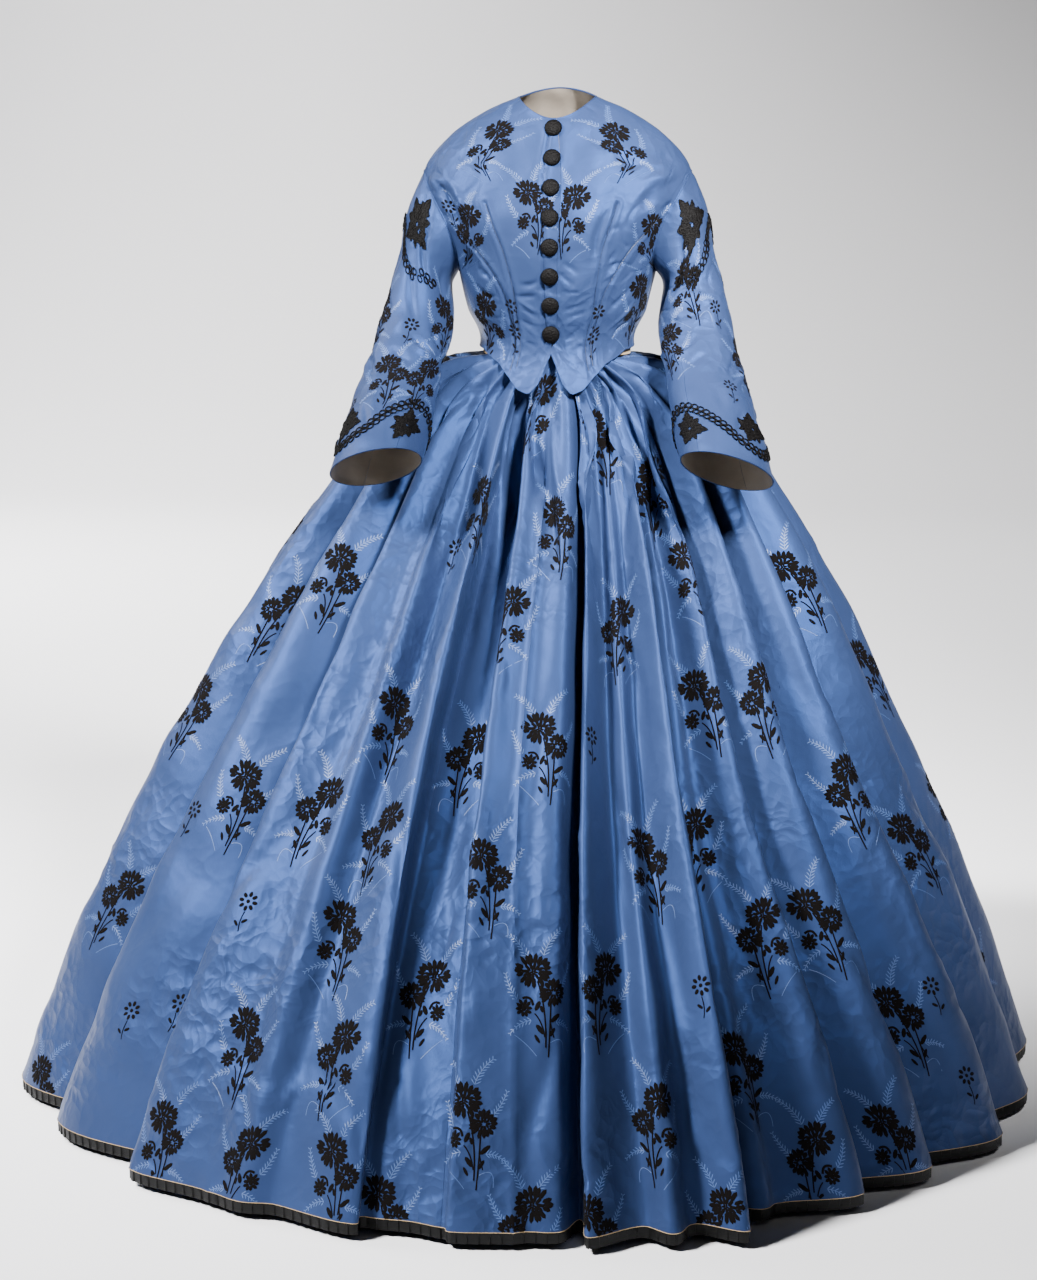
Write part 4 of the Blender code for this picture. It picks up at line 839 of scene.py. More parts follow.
def ribbed(material, place, spacing, strength, depth, distortion=0.0):
    """Ribs down the cloth, this far apart in millimetres, as a bump."""
    inputs = {"Scale": bands_every(spacing), "Distortion": distortion}
    links = {"Vector": place.outputs["UV"]}
    ribs = add_node(material, "ShaderNodeTexWave", {"bands_direction": "X"}, inputs, links)
    bump = {"Strength": strength, "Distance": depth}
    return add_node(material, "ShaderNodeBump", None, bump, {"Height": ribs.outputs["Fac"]})


def cotton_lining():
    """Brown-grey cotton lining in a plain weave: dull, even and a little mottled. Its threads are
    drawn 0.6 mm apart, coarser than real ones.
    """
    material, shader = new_material("brown_cotton_lining", Roughness=0.85, Sheen_Weight=0.1)
    place = add_node(material, "ShaderNodeTexCoord")
    colour = mottled(material, place, 16.7, 4.0, "7D7266", "958A7C")
    return finish(material, shader, colour, ribbed(material, place, 0.628, 0.3, 0.0002))


brown_lining = cotton_lining()
Cloth = namedtuple("Cloth", "points normals across down")


def cut_from(across, down):
    """The rectangle that a piece is cut from, to the next centimetre, and the piece's own area."""
    flat = math.ceil(100 * across.max()) / 100, math.ceil(100 * down.max()) / 100
    wide = 0.5 * (np.diff(across, axis=1)[:-1] + np.diff(across, axis=1)[1:])
    shown = float(np.sum(wide * np.diff(down, axis=0)[:, :-1]))
    return flat, min(shown, flat[0] * flat[1])


panels = {}
for name, side in (("bodice_front_left", 1), ("bodice_front_right", -1)):
    grid = panel(side, 0.0, True)
    if side < 0:
        grid = grid[:, ::-1].copy()
        grid[..., 0] *= -1
    panels[name] = grid, {k: v for k, v in DARTS.items() if (v[0].angle > 0) == (side > 0)}
half = panel(1, 180.0, False)
other = half.copy()
other[..., 0] = 360 - other[..., 0]
panels["bodice_back"] = np.concatenate([half[:, ::-1], other[:, 1:]], axis=1), BACK_SEAMS
bodice_cloths = {}
for name, (grid, seams) in panels.items():
    points, out = finished_panel(grid, seams)
    points = np.swapaxes(drawn_back(np.swapaxes(drawn_back(points), 0, 1)), 0, 1)
    across, down = lengths(points)
    bodice_cloths[name] = Cloth(points, out, across, down)
    piece = shell(f"silk_{name}", points, BODICE_WALL, [blue_silk, brown_lining], across, down, out)
    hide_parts(name)
    flat, area = cut_from(across, down)


# The sleeves
# Two-piece bell coat sleeves of the silk, lined with the brown cotton, seamed in front and behind
# and set into the armholes. They are bent forward at the elbow.

SLEEVE_WALL = 0.0018
SLEEVE_HEAD_GAP = 0.0009
SLEEVE_OVERLAP = 40
SLEEVE_ROWS = 130
UPPER_COLUMNS, UNDER_COLUMNS = 57, 51
FRONT_SLEEVE_SEAM, BACK_SLEEVE_SEAM = 125.0, -65.0
SLEEVE_SPREAD = {1: 0.010, -1: -0.010}
Ring = namedtuple("Ring", "outer_x outer_z inner_x inner_z y half_depth tip")
SLEEVE_RINGS = (
    Ring(0.2095, 0.200, 0.1500, 0.088, -0.006, 0.060, -3),
    Ring(0.2225, 0.140, 0.1465, 0.060, -0.020, 0.058, -6),
    Ring(0.2375, 0.078, 0.1445, 0.035, -0.040, 0.056, 0),
    Ring(0.2520, 0.020, 0.1480, 0.008, -0.066, 0.056, 10),
    Ring(0.2670, -0.035, 0.1560, -0.025, -0.104, 0.055, 20),
    Ring(0.2800, -0.080, 0.1620, -0.068, -0.145, 0.058, 27),
    Ring(0.2920, -0.122, 0.1685, -0.105, -0.182, 0.065, 28),
    Ring(0.3030, -0.165, 0.1760, -0.137, -0.214, 0.072, 25),
)
Wrinkle = namedtuple("Wrinkle", "turn step length tilt width depth")
SLEEVE_WRINKLES = (
    Wrinkle(40, 0.60, 0.050, 62, 0.0045, -0.0045),
    Wrinkle(32, 0.64, 0.050, 74, 0.0045, 0.0036),
    Wrinkle(20, 0.57, 0.060, 80, 0.0050, -0.0045),
    Wrinkle(110, 0.54, 0.050, 108, 0.0050, -0.0051),
    Wrinkle(118, 0.58, 0.050, 100, 0.0046, 0.0039),
    Wrinkle(100, 0.62, 0.046, 112, 0.0050, -0.0039),
    Wrinkle(150, 0.52, 0.050, 70, 0.0050, -0.0054),
    Wrinkle(160, 0.57, 0.050, 80, 0.0050, 0.0039),
    Wrinkle(150, 0.20, 0.060, 30, 0.0070, -0.0051),
    Wrinkle(95, 0.16, 0.070, 20, 0.0080, -0.0045),
    Wrinkle(75, 0.34, 0.080, 12, 0.0080, -0.0042),
    Wrinkle(60, 0.44, 0.070, -16, 0.0070, 0.0033),
    Wrinkle(20, 0.28, 0.080, -10, 0.0090, -0.0039),
    Wrinkle(-30, 0.40, 0.080, 18, 0.0080, -0.0048),
    Wrinkle(-50, 0.55, 0.060, 50, 0.0060, -0.0051),
    Wrinkle(-100, 0.50, 0.060, 66, 0.0060, -0.0051),
    Wrinkle(-120, 0.30, 0.080, 20, 0.0080, -0.0045),
    Wrinkle(-160, 0.60, 0.050, 70, 0.0050, -0.0045),
    Wrinkle(-20, 0.74, 0.060, 24, 0.0060, 0.0033),
    Wrinkle(85, 0.78, 0.060, -14, 0.0060, -0.0033),
    Wrinkle(58, 0.86, 0.050, 20, 0.0060, -0.0030),
)


def armhole_ring(turn):
    """The sleeve's head: the armhole's edge, moved into the hole by the seam's gap."""
    angle, step = armhole(turn)
    edge = body(angle, step)
    inside = body(angle + (ARMHOLE_ANGLE - angle) * 0.05, step + (ARMHOLE_STEP - step) * 0.05)
    return edge + SLEEVE_HEAD_GAP * unit(inside - edge)


def sleeve_surface(side, turn, step):
    """The sleeve's points: turn 0 outside, 90 in front, 180 inside, as a grid of steps by turns."""
    rings = [armhole_ring(turn)]
    c, s = np.cos(np.radians(turn)), np.sin(np.radians(turn))
    for n, ring in enumerate(SLEEVE_RINGS):
        spread = SLEEVE_SPREAD[side] * ((n + 1) / len(SLEEVE_RINGS)) ** 2
        x = 0.5 * (ring.outer_x + ring.inner_x) + spread + 0.5 * (ring.outer_x - ring.inner_x) * c
        tip = math.radians(ring.tip)
        z = 0.5 * (ring.outer_z + ring.inner_z) + 0.5 * (ring.outer_z - ring.inner_z) * c
        y = ring.y - ring.half_depth * math.cos(tip) * s
        rings.append(np.stack([x, y, z + ring.half_depth * math.sin(tip) * s], -1))
    points = along(np.stack(rings), step)
    points[..., 0] *= side
    return points


def widened(cloth, columns):
    """A closed ring's cloth with some of its columns again on both sides, so places can cross."""
    closing = np.linalg.norm(cloth.points[:, :1] - cloth.points[:, -1:], axis=-1)
    round_it = cloth.across[:, -1:] + closing

    def both_ends(grid, step=0):
        return np.concatenate([grid[:, -columns:] - step, grid, grid[:, :columns] + step], axis=1)

    return Cloth(
        both_ends(cloth.points),
        both_ends(cloth.normals),
        both_ends(cloth.across, round_it),
        both_ends(cloth.down),
    )


sleeve_cloths = {}
sleeve_turns = {}
for arm, side in (("left", 1), ("right", -1)):
    upper = np.linspace(BACK_SLEEVE_SEAM, FRONT_SLEEVE_SEAM, UPPER_COLUMNS + 1)
    under = np.linspace(FRONT_SLEEVE_SEAM, BACK_SLEEVE_SEAM + 360, UNDER_COLUMNS + 1)
    turns = np.concatenate([upper[:-1], under[:-1]])
    order = slice(None, None, -1) if side > 0 else slice(None)
    turns = turns[order]
    ring = sleeve_surface(side, turns, np.linspace(0, 1, SLEEVE_ROWS))
    out = grid_normals(ring, True)
    across, down = lengths(ring)
    moved = 0.0011 * field(ring, seed=51 + side, size=0.06)
    moved += crumple(ring, seed=53 + side, size=0.06, depth=-0.0020)
    for k, wrinkle in enumerate(SLEEVE_WRINKLES):
        turn = wrinkle.turn + (9 * math.sin(7 * k) if side < 0 else 0)
        tilt = wrinkle.tilt * (-side) + (6 * math.cos(5 * k) if side < 0 else 0)
        column = int(np.argmin(np.abs((turns - turn + 180) % 360 - 180)))
        rolled = [np.roll(x, len(turns) // 2 - column, axis=1) for x in (ring, down)]
        crease = Crease(turn, 0, wrinkle.length, tilt, wrinkle.width, wrinkle.depth)
        place = int(wrinkle.step * (SLEEVE_ROWS - 1)), len(turns) // 2
        part = creased(lengths(rolled[0])[0], rolled[1], place, crease)
        moved += np.roll(part, column - len(turns) // 2, axis=1)
    rim = smooth(np.minimum(down, down[-1] - down) / 0.012)
    ring = ring + out * (moved * rim)[..., None]
    out = grid_normals(ring, True)
    across, down = lengths(ring)
    sleeve_cloths[side] = widened(Cloth(ring, out, across, down), SLEEVE_OVERLAP)
    sleeve_turns[side] = turns
    seams = [int(np.argmin(np.abs(turns - seam))) for seam in (FRONT_SLEEVE_SEAM, BACK_SLEEVE_SEAM)]
    upper_seams = seams if side > 0 else seams[::-1]
    for part, (first, last) in (("upper", upper_seams), ("under", upper_seams[::-1])):
        reach = last + 1 if last > first else last + 1 + len(turns)
        columns = np.arange(first, reach) % len(turns)
        points, normals = drawn_back(ring[:, columns]), out[:, columns]
        across, down = lengths(points)
        name, cloths = f"silk_sleeve_{part}_{arm}", [blue_silk, brown_lining]
        piece = shell(name, points, SLEEVE_WALL, cloths, across, down, normals)
        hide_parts(f"sleeve_{part}_{arm}")
        flat, area = cut_from(across, down)


# The waistband
# The narrow tan cotton tape that the skirt is pleated into. It shows in the bodice's notch.

WAISTBAND_TOP, WAISTBAND_DEPTH, WAISTBAND_LENGTH = 0.013, 0.022, 0.62
WAISTBAND_WALL = 0.0020
WAISTBAND_SIDES = 180
# Rows from the band's top down, and how far each stands out: both edges are turned in
WAISTBAND_ROWS = (
    (0.0, -0.0006),
    (0.0014, 0.0),
    (0.007, 0.0001),
    (0.0145, 0.0001),
    (0.0206, 0.0),
    (WAISTBAND_DEPTH, -0.0006),
)


def cotton_tape():
    """Tan cotton tape, aged unevenly: dull, with a close rib every 1.2 mm."""
    material, shader = new_material("tan_cotton_tape", Roughness=0.9, Sheen_Weight=0.1)
    place = add_node(material, "ShaderNodeTexCoord")
    colour = mottled(material, place, 11.1, 3.0, "94774F", "B39A72")
    return finish(material, shader, colour, ribbed(material, place, 1.208, 0.5, 0.0003))


tan_cotton = cotton_tape()
angle = np.linspace(0, 2 * math.pi, WAISTBAND_SIDES, endpoint=False)
waist = SKIRT_LEVELS[0]
deep = np.where(np.cos(angle) > 0, waist.front, waist.back)
ring = np.stack([waist.side * np.sin(angle), -deep * np.cos(angle), 0 * angle], -1)
drops, swells = np.array(WAISTBAND_ROWS).T
band = ring + (WAISTBAND_TOP - drops)[:, None, None] * [0, 0, 1]
band_out = grid_normals(band, True)
band = band + swells[:, None, None] * band_out
across, down = lengths(band)
waistband = shell(
    "cotton_waistband", band, WAISTBAND_WALL, [tan_cotton], across, down, band_out, closed=True
)
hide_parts("waistband")


# The hem's edging
# A narrow black silk edging in fine knife pleats, sewn behind the hem, with a tan binding cord
# where it meets the skirt.

PLEATING_DROP = 0.0155
PLEAT_PITCH = 0.0145
PLEAT_DEPTH = 0.0017
PLEATING_WALL = 0.0010
PLEATING_CUT = 0.016
HEM_GAP = 0.0005
HEM_CORD_RADIUS, HEM_CORD_SET = 0.0004, 0.0002
# Each pleat's places along the edging and how far in each lies, as shares of the pleat
PLEAT_PLACES = 0.0, 0.08, 0.5, 0.93
PLEAT_DEPTHS = 1.0, 0.9, 0.45, 0.0


def black_silk_taffeta():
    """Black silk taffeta: near black with a low dull shine. Its ribs are drawn 0.75 mm apart,
    coarser than real ones.
    """
    material, shader = new_material(
        "black_silk_taffeta",
        Base_Color=linear("060606"),
        Roughness=0.50,
        Specular_IOR_Level=0.12,
    )
    place = add_node(material, "ShaderNodeTexCoord")
    return finish(material, shader, None, ribbed(material, place, 0.748, 0.25, 0.0002, 1.0))


black_taffeta = black_silk_taffeta()
hem = np.concatenate([skirt[-1], skirt[-1, :1]])
hem_out = np.concatenate([skirt_out[-1], skirt_out[-1, :1]])
hem_run = np.concatenate([[0], np.cumsum(np.linalg.norm(np.diff(hem, axis=0), axis=1))])
for n in range(len(SEAM_FOLDS) - 1):
    first, last = (hem_run[SEAM_FOLDS[n + i] * COLUMNS_A_FOLD] for i in (0, 1))
    first, last = first + SEAM_GAP / 2, last - SEAM_GAP / 2
    pleats = max(1, round((last - first) / PLEAT_PITCH))
    share = (np.arange(pleats)[:, None] + np.array(PLEAT_PLACES)).ravel() / pleats
    share = np.append(share, 1.0)
    depth = np.append(np.tile(PLEAT_DEPTHS, pleats), 1.0)
    uneven = 0.25 * np.sin(1.7 * np.arange(len(share))) * (depth > 0.2) * (depth < 0.8)
    at = first + (last - first) * share
    top = np.stack([np.interp(at, hem_run, hem[:, k]) for k in range(3)], -1)
    out = unit(np.stack([np.interp(at, hem_run, hem_out[:, k]) for k in range(3)], -1))
    rows = []
    for drop in (0.0, 0.003, 0.009, PLEATING_DROP):
        spread = PLEAT_DEPTH * (depth + uneven) * (0.55 + 0.45 * drop / PLEATING_DROP)
        rows.append(top - [0, 0, HEM_GAP + drop] - (SKIRT_WALL / 4 + spread)[:, None] * out)
    grid = np.stack(rows)
    across, down = lengths(grid)
    name, normals = f"silk_edging_{n + 1}", np.tile(out, (len(rows), 1, 1))
    edging = shell(name, grid, PLEATING_WALL, [black_taffeta], across, down, normals)
    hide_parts(f"hem_pleating_{n + 1}")
    flat = math.ceil(100 * across.max()) / 100, PLEATING_CUT


def cord(name, path, radius, material, closed=False, sides=7):
    """A round cord along a run of points, as one tube."""
    path = np.asarray(path, float)
    if closed:
        ahead = unit(np.roll(path, -1, axis=0) - np.roll(path, 1, axis=0))
    else:
        ahead = unit(np.gradient(path, axis=0))
    start = unit(np.cross(ahead[0], [0.31, 0.52, 0.79]))
    frames = [start]
    for way in ahead[1:]:
        start = unit(start - way * (start @ way))
        frames.append(start)
    one = np.array(frames)
    other = np.cross(ahead, one)
    turn = np.linspace(0, 2 * math.pi, sides, endpoint=False)
    rim = np.cos(turn)[:, None] * one[:, None] + np.sin(turn)[:, None] * other[:, None]
    rings = path[:, None] + radius * rim
    count = len(path)
    i, j = np.meshgrid(np.arange(count if closed else count - 1), np.arange(sides), indexing="ij")
    k, m = (i + 1) % count, (j + 1) % sides
    faces = np.stack([i * sides + j, i * sides + m, k * sides + m, k * sides + j], -1)
    faces = faces.reshape(-1, 4).tolist()
    if not closed:
        faces += [list(range(sides))[::-1], list(range((count - 1) * sides, count * sides))]
    run = np.concatenate([[0], np.cumsum(np.linalg.norm(np.diff(path, axis=0), axis=1))])
    uv = np.stack([np.repeat(run, sides), np.tile(turn * radius, count)], -1)
    return mesh_piece(name, rings.reshape(-1, 3), faces, [material], uv)


route = hem[:-1] - [0, 0, HEM_CORD_SET] + HEM_CORD_SET * skirt_out[-1]
hem_cord = cord("hem_binding", route, HEM_CORD_RADIUS, tan_cotton, closed=True, sides=5)


# Piping
# Fine cords covered in the silk round the neck and armholes and along the bodice's lower edge.

PIPING_RADIUS = 0.0013
PIPING_SUNK, PIPING_PAST_EDGE = 0.0009, 0.0002
LEAST_STEP = 0.0008
round_the_body = [bodice_cloths[f"bodice_{part}"] for part in ("front_left", "back", "front_right")]
for name, row, past in (("neck", 0, PIPING_PAST_EDGE), ("lower_edge", -1, -PIPING_PAST_EDGE)):
    runs = [cloth.points[row] - PIPING_SUNK * cloth.normals[row] for cloth in round_the_body]
    run = np.concatenate(runs) + [0, 0, past]
    keep = np.concatenate([[True], np.linalg.norm(np.diff(run, axis=0), axis=1) > LEAST_STEP])
    piping = cord(f"piping_{name}", run[keep], PIPING_RADIUS, blue_silk)
for name, side in (("left", 1), ("right", -1)):
    head = sleeve_cloths[side].points[0, SLEEVE_OVERLAP:-SLEEVE_OVERLAP]
    piping = cord(f"piping_armhole_{name}", head, PIPING_RADIUS, blue_silk, closed=True)


# The darts' stitching and its painted shade
# Navy silk thread that draws the fronts' darts and the back's seams into narrow troughs. Its dark cord
# also paints the shade that falls in each trough.

STITCHING_AND_SHADE_RADIUS = 0.0008


def seam_thread_and_painted_shade():
    """Twisted navy silk sewing thread: dark, with its twist as a fine slanting stripe. Its darkness also
    stands for the shade in the seam's trough, as painted shade.
    """
    material, shader = new_material("navy_thread_and_painted_seam_shade", Roughness=0.55, Specular_IOR_Level=0.3)
    place = add_node(material, "ShaderNodeTexCoord")
    twist = add_node(
        material,
        "ShaderNodeTexWave",
        {"bands_direction": "DIAGONAL"},
        {"Scale": bands_every(0.349)},
        {"Vector": place.outputs["UV"]},
    )
    return finish(material, shader, blended(material, twist.outputs["Fac"], "131C33", "202D4B"))


def sunk_in(cloth, line):
    """A seam's points moved out or in to lie on the finished cloth."""
    points, normals = cloth.points.reshape(-1, 3), cloth.normals.reshape(-1, 3)
    found = []
    for point in line:
        far = np.linalg.norm(points - point, axis=-1)
        near = np.argpartition(far, 5)[:5]
        share = 1 / (far[near] ** 2 + 1e-7)
        off = np.sum((points[near] - point) * normals[near], axis=-1)
        found.append(point + unit(share @ normals[near]) * (share @ off) / share.sum())
    return np.array(found)


# Dark cords along the seams: the stitching, and painted shade in each seam's trough
seam_thread_and_shade = seam_thread_and_painted_shade()
for name, (_, seams) in panels.items():
    for seam, places in seams.items():
        if seam == "button_stand":
            continue
        line = sunk_in(bodice_cloths[name], seam_line(places)[2:-2])
        stitching_and_painted_shade = cord(f"stitching_{seam}_{name}", line, STITCHING_AND_SHADE_RADIUS, seam_thread_and_shade, sides=5)


# The buttons
# Eight domed buttons, wooden moulds covered in crocheted black silk, sewn to the left front.

BUTTONS = 8
LOWEST_BUTTON, BUTTON_SPACING = 0.0235, 0.0402
BUTTON_RADIUS, BUTTON_HEIGHT = 0.01232, 0.0072
BUTTON_SIDES, BUTTON_LIFT = 32, 0.0006
# The dome's rings of crochet from the cloth up, as shares of its radius and height
BUTTON_DOME = (
    (0.90, 0.02),
    (1.00, 0.10),
    (1.00, 0.26),
    (0.965, 0.44),
    (0.89, 0.62),
    (0.77, 0.77),
    (0.60, 0.89),
    (0.42, 0.955),
    (0.22, 0.99),
)


def crocheted_silk():
    """Black silk cord worked round and round: dull, and knobbly with loops 2.3 mm apart."""
    material, shader = new_material(
        "black_crocheted_silk",
        Base_Color=linear("060505"),
        Roughness=0.60,
        Specular_IOR_Level=0.07,
    )
    place = add_node(material, "ShaderNodeTexCoord").outputs["Object"]
    loops = add_node(material, "ShaderNodeTexVoronoi", None, {"Scale": every(2.326)}, {"Vector": place})
    deep = {"Strength": 1.0, "Distance": 0.0010}
    bump = add_node(material, "ShaderNodeBump", None, deep, {"Height": loops.outputs["Distance"]})
    return finish(material, shader, None, bump)


black_crochet = crocheted_silk()
for n in range(BUTTONS):
    step = np.array(step_at(0.0, LOWEST_BUTTON + (BUTTONS - 1 - n) * BUTTON_SPACING))
    base = body(np.array(0.0), step)
    out = normals_of(body, np.array(0.0), step, 0.5, 0.004)
    right = unit(np.cross([0, 0, 1.0], out))
    up = np.cross(out, right)
    base = base + BUTTON_LIFT * out
    points = [base]
    for ring, (radius, height) in enumerate(BUTTON_DOME):
        for k in range(BUTTON_SIDES):
            turn = 2 * math.pi * (k + 0.5 * (ring % 2)) / BUTTON_SIDES
            knot = 1 + 0.022 * math.cos(BUTTON_SIDES / 2 * turn + math.pi * ring) * (height > 0.05)
            flat = math.cos(turn) * right + math.sin(turn) * up
            side = BUTTON_RADIUS * radius * knot * flat
            points.append(base + side + BUTTON_HEIGHT * height * knot * out)
    points.append(base + BUTTON_HEIGHT * out)
    faces = [[0, 1 + (k + 1) % BUTTON_SIDES, 1 + k] for k in range(BUTTON_SIDES)]
    for ring in range(len(BUTTON_DOME) - 1):
        for k in range(BUTTON_SIDES):
            start = 1 + ring * BUTTON_SIDES
            a, b = start + k, start + (k + 1) % BUTTON_SIDES
            faces.append([a, b, b + BUTTON_SIDES, a + BUTTON_SIDES])
    last = 1 + (len(BUTTON_DOME) - 1) * BUTTON_SIDES
    for k in range(BUTTON_SIDES):
        faces.append([last + k, last + (k + 1) % BUTTON_SIDES, len(points) - 1])
    button = mesh_piece(
        f"crocheted_button_{n + 1}", points, faces, [black_crochet], smooth_angle=70
    )
    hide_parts(f"button_{n + 1}")


# The sleeves' trims
# Chains of linked crocheted rings and ribbed leaf stars in black silk cord, sewn flat round the
# cuffs and in two swags over the sleeve heads.

RING_RADIUS, RING_WIRE = 0.0050, 0.0010
RING_PITCH, RING_STAGGER = 0.0102, 0.0040
CUFF_CHAIN_PEAK, CUFF_CHAIN_LOW, CUFF_CHAIN_HIGH = 131.0, 0.025, 0.082
CAP_STAR_ANGLES, SWAG_REACH = (61.0, -50.0), 54.0
CAP_CHAIN_TOP, CAP_CHAIN_SAG, CAP_STAR_LENGTH = 0.073, 0.036, 0.045
CUFF_STAR_OFFSET = 0.040
CUFF_STAR_RADIUS, CAP_STAR_RADIUS = 0.0310, 0.0400
RING_LOOK_AHEAD = 0.002
MIDDLE_RING_RADIUS, GAP_RING_RADIUS = 0.0034, 0.0021
LEAF_LENGTHS = 1.0, 0.74, 0.90, 0.70, 0.97, 0.78, 0.84
# One half of a leaf's edge, across and out, as shares of its length
LEAF_HALF = (
    (0.0, 0.12),
    (0.17, 0.24),
    (0.35, 0.40),
    (0.24, 0.50),
    (0.30, 0.64),
    (0.15, 0.70),
    (0.13, 0.82),
    (0.0, 1.0),
)
STAR_CORD = ((-0.0010, 0.0004), (-0.0006, 0.0017), (0.0006, 0.0017), (0.0010, 0.0004))


def on_cloth(cloth, row, column, shape, heights):
    """A flat shape's points laid on cloth round a place given by row and column."""
    rows = np.arange(len(cloth.points))
    low = min(int(column), cloth.points.shape[1] - 2)
    part = column - low
    down = (1 - part) * cloth.down[:, low] + part * cloth.down[:, low + 1]
    wanted = np.interp(row, rows, down) - shape[:, 1]
    off = (wanted < 0) | (wanted > down[-1])
    r = np.clip(np.interp(wanted, down, rows), 0, len(rows) - 1.0001)
    i = r.astype(int)
    f = (r - i)[:, None]
    line = (1 - f) * cloth.across[i] + f * cloth.across[i + 1]
    start = (1 - part) * line[:, low] + part * line[:, low + 1]
    wanted = start + shape[:, 0]
    off |= (wanted < line[:, 0]) | (wanted > line[:, -1])
    j = np.clip((line < wanted[:, None]).sum(1) - 1, 0, line.shape[1] - 2)
    each = np.arange(len(shape))
    g = np.clip((wanted - line[each, j]) / (line[each, j + 1] - line[each, j]), 0, 1)[:, None]

    def mixed(grid):
        above = (1 - g) * grid[i, j] + g * grid[i, j + 1]
        return (1 - f) * above + f * ((1 - g) * grid[i + 1, j] + g * grid[i + 1, j + 1])

    return mixed(cloth.points) + heights[:, None] * unit(mixed(cloth.normals)), off


class Shapes:
    """Flat leaves, petals, stems and cords gathered into one shape, to be laid on the cloth."""

    def __init__(self):
        self.points, self.heights, self.faces = [], [], []

    def fan(self, rim, middle, low, high):
        """A flat form with its rim low and its middle raised."""
        start = len(self.points)
        self.points += [middle, *rim]
        self.heights += [high] + [low] * len(rim)
        count = len(rim)
        self.faces += [[start, start + 1 + k, start + 1 + (k + 1) % count] for k in range(count)]

    def oval(self, x, y, bearing, length, width, low=0.3, high=0.9, count=8):
        """An oval leaf or petal: its bearing is in degrees clockwise from straight up."""
        c, s = math.cos(math.radians(bearing)), math.sin(math.radians(bearing))
        rim = []
        for k in range(count):
            t = 2 * math.pi * k / count
            a, b = 0.5 * length * math.cos(t), 0.5 * width * math.sin(t)
            rim.append((x + a * s - b * c, y + a * c + b * s))
        self.fan(rim, (x, y), low, high)

    def ribbon(self, path, width, low=0.3, high=0.8):
        """A stem of even width along a run of points, higher along its middle."""
        self.strip(path, ((-0.5 * width, low), (0, high), (0.5 * width, low)))

    def strip(self, path, profile):
        """A cord along a run of points, with its profile given as pairs of offset and height."""
        path = np.array(path, float)
        side = np.gradient(path, axis=0)
        side = np.stack([side[:, 1], -side[:, 0]], -1) / np.linalg.norm(side, axis=1)[:, None]
        start, width = len(self.points), len(profile)
        for p, s in zip(path, side):
            self.points += [tuple(p + offset * s) for offset, _ in profile]
            self.heights += [height for _, height in profile]
        for k in range(len(path) - 1):
            for m in range(width - 1):
                a = start + width * k + m
                self.faces.append([a, a + 1, a + width + 1, a + width])

    def ring(self, centre, radius, profile):
        """A closed ring of the same cord."""
        turns = np.linspace(0, 2 * math.pi, 13)[:, None]
        circle = np.concatenate([np.sin(turns), np.cos(turns)], axis=1)
        self.strip(np.array(centre) + radius * circle, profile)

    def done(self):
        return np.array(self.points), np.array(self.heights), self.faces

    def in_metres(self, scale):
        """A shape drawn in millimetres, at a scale that leaves its heights as they are."""
        points, heights, faces = self.done()
        return points * 0.001 * scale, heights * 0.001, faces


def arc(start, bend, end, count):
    """Points on a smooth curve from start to end that is drawn towards bend."""
    t = np.linspace(0, 1, count)[:, None]
    start, bend, end = (np.array(p, float) for p in (start, bend, end))
    return (1 - t) ** 2 * start + 2 * t * (1 - t) * bend + t * t * end


def laid_pieces(name, material, placed):
    """Many flat shapes laid on cloth, as one joined mesh, without what runs off the cloth."""
    all_points, all_faces, start = [], [], 0
    for cloth, row, column, (shape, heights, faces), mirrored in placed:
        flat = shape * [-1, 1] if mirrored else shape
        points, off = on_cloth(cloth, row, column, flat, heights)
        kept = [face[::-1] if mirrored else face for face in faces if not off[face].any()]
        all_points.append(points)
        all_faces += [[start + v for v in face] for face in kept]
        start += len(points)
    piece = mesh_piece(name, np.concatenate(all_points), all_faces, [material], smooth_angle=60)
    return piece


def crocheted_ring(lift):
    """One ring of the chain, lying flat, as a shape to be laid on the cloth."""
    turns, sides = 18, 6
    t = np.linspace(0, 2 * math.pi, turns, endpoint=False)
    f = np.linspace(0, 2 * math.pi, sides, endpoint=False)
    stitches = 1 + 0.10 * np.cos(9 * t)[:, None]
    reach = RING_RADIUS - RING_WIRE + RING_WIRE * np.cos(f)[None, :] * stitches
    points = np.stack([reach * np.cos(t)[:, None], reach * np.sin(t)[:, None]], -1).reshape(-1, 2)
    heights = np.tile(lift + RING_WIRE * (1.15 + np.sin(f)), turns)
    faces = []
    for i in range(turns):
        for j in range(sides):
            near, far, after = i * sides, (i + 1) % turns * sides, (j + 1) % sides
            faces.append([near + j, far + j, far + after, near + after])
    return points, heights, faces


def sleeve_place(side, turn, length, from_cuff):
    """The row and column of the sleeve's cloth at a turn and a length from one of its ends."""
    cloth, turns = sleeve_cloths[side], sleeve_turns[side]
    before, after = turns[-SLEEVE_OVERLAP:] + 360 * side, turns[:SLEEVE_OVERLAP] - 360 * side
    turns = np.concatenate([before, turns, after])
    turn = (turn - BACK_SLEEVE_SEAM) % 360 + BACK_SLEEVE_SEAM
    column = float(np.interp(-side * turn, -side * turns, np.arange(len(turns))))
    low = min(int(column), len(turns) - 2)
    down = cloth.down[:, low] + (column - low) * (cloth.down[:, low + 1] - cloth.down[:, low])
    wanted = down[-1] - length if from_cuff else length
    return float(np.interp(wanted, down, np.arange(len(down)))), column


def place_point(cloth, row, column):
    return on_cloth(cloth, row, column, np.zeros((1, 2)), np.zeros(1))[0][0]


